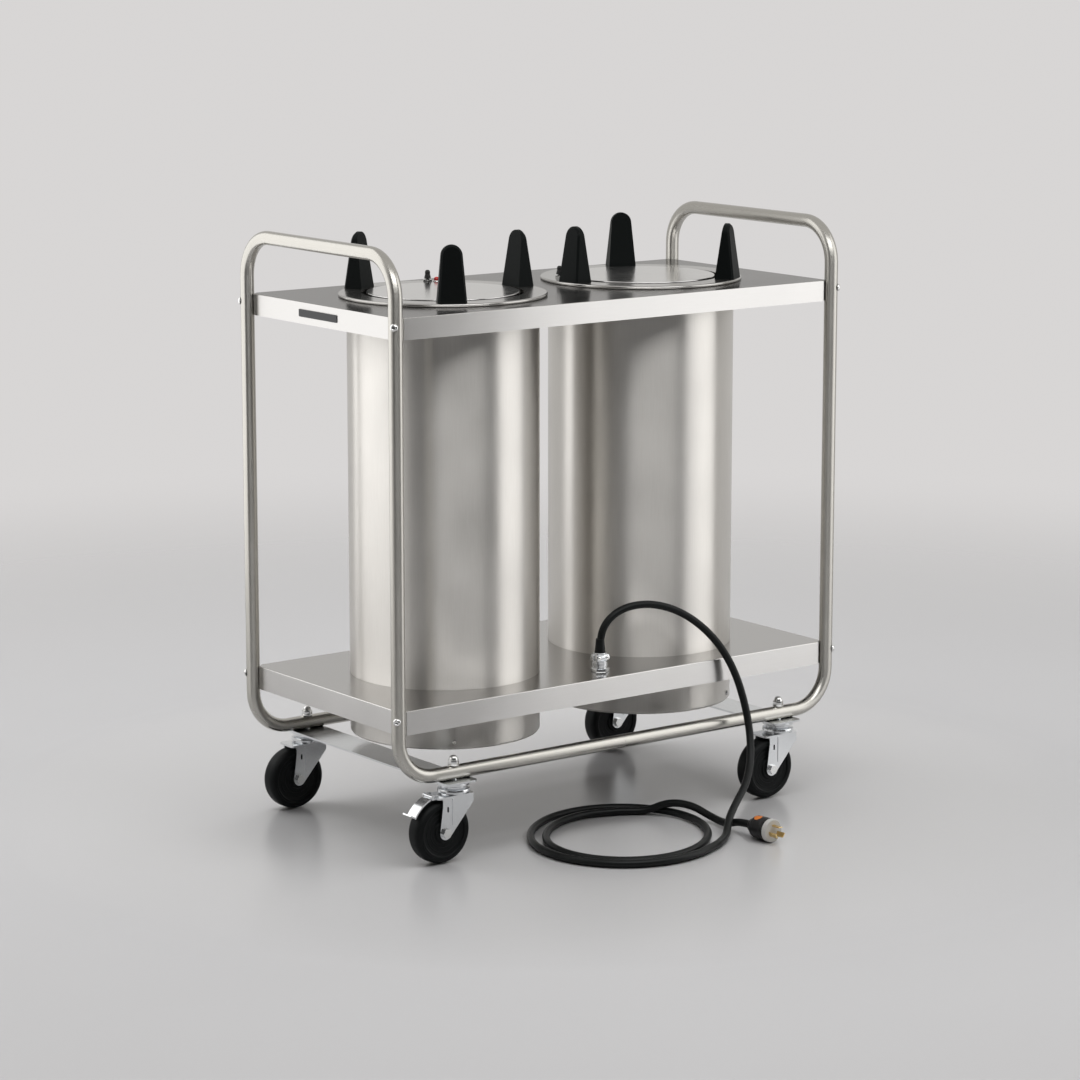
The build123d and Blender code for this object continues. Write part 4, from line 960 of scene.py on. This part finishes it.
def makeFloor(setup):
    clearSelection()
    bpy.ops.mesh.primitive_plane_add(size=setup["floorSize"], location=(0, 0, setup["floorLevel"]))
    floor = settle(bpy.context.active_object, "studioFloor")
    material, tree, shader = newFinish("studioFloor")
    coords = tree.nodes.new("ShaderNodeTexCoord")
    cloudScale, gain = setup["floorCloud"]
    noise = tree.nodes.new("ShaderNodeTexNoise")
    noise.inputs["Scale"].default_value = cloudScale
    tree.links.new(coords.outputs["Object"], noise.inputs["Vector"])
    paler = tuple(gain * part for part in setup["floorColour"])
    colour = blendColours(tree, noise.outputs["Fac"], setup["floorColour"], paler)
    tree.links.new(colour, shader.inputs["Base Color"])
    shader.inputs["Roughness"].default_value = setup["floorRoughness"]
    distance = vectorLength(tree, coords.outputs["Object"])
    shown = rampBetween(tree, distance, setup["floorFades"], (1, 0), smooth=True)
    tree.links.new(shown, shader.inputs["Alpha"])
    gloss = rampBetween(tree, distance, setup["glossFades"], (setup["floorGloss"], 0), smooth=True)
    tree.links.new(gloss, shader.inputs["Specular IOR Level"])
    dress(floor, material)


def mixShaders(tree, fac, first, second):
    node = tree.nodes.new("ShaderNodeMixShader")
    tree.links.new(fac, node.inputs[0])
    tree.links.new(first.outputs[0], node.inputs[1])
    tree.links.new(second.outputs[0], node.inputs[2])
    return node


def makeRoom(setup):
    # the camera sees the plain backdrop, metal sees a pale room with one dark side
    world = bpy.data.worlds.new("studioRoom")
    bpy.context.scene.world = world
    world.use_nodes = True
    tree = world.node_tree
    coords = tree.nodes.new("ShaderNodeTexCoord")
    toDark = tree.nodes.new("ShaderNodeVectorMath")
    toDark.operation = "DOT_PRODUCT"
    toDark.inputs[1].default_value = setup["darkSide"]
    tree.links.new(coords.outputs["Generated"], toDark.inputs[0])
    darkness = rampBetween(tree, toDark.outputs["Value"], setup["darkSpread"], (0, 1), smooth=True)
    room = blendColours(tree, darkness, setup["roomColour"], setup["darkColour"])
    fill = tree.nodes["Background"]
    fill.inputs["Color"].default_value = (*setup["roomColour"], 1)
    fill.inputs["Strength"].default_value = setup["fillStrength"]
    mirrored = tree.nodes.new("ShaderNodeBackground")
    tree.links.new(room, mirrored.inputs["Color"])
    seen = tree.nodes.new("ShaderNodeBackground")
    seen.inputs["Color"].default_value = (*setup["backColour"], 1)
    path = tree.nodes.new("ShaderNodeLightPath")
    fromCamera, throughGlass = path.outputs["Is Camera Ray"], path.outputs["Is Transmission Ray"]
    straight = mathNode(tree, "MAXIMUM", fromCamera, throughGlass)
    lit = mixShaders(tree, path.outputs["Is Glossy Ray"], fill, mirrored)
    shown = mixShaders(tree, straight, lit, seen)
    tree.links.new(shown.outputs[0], tree.nodes["World Output"].inputs["Surface"])


def hangSoftBox(name, setup):
    data = bpy.data.lights.new(name, "AREA")
    data.shape = "RECTANGLE"
    data.size, data.size_y = setup["size"]
    data.energy = setup["watts"]
    light = bpy.data.objects.new(name, data)
    bpy.context.scene.collection.objects.link(light)
    light.location = setup["place"]
    aim = Vector(setup["target"]) - Vector(setup["place"])
    light.rotation_euler = aim.to_track_quat("-Z", "Y").to_euler()
    light.visible_camera = False
    return light


makeFloor(studioSetup)
makeRoom(studioSetup)
for boxName, boxSetup in softBoxes.items():
    hangSoftBox(boxName, boxSetup).visible_glossy = False
for cardName, cardSetup in cards.items():
    hangSoftBox(cardName, cardSetup).visible_diffuse = False
bpy.context.scene.view_settings.view_transform = "Standard"
print("studio lit")
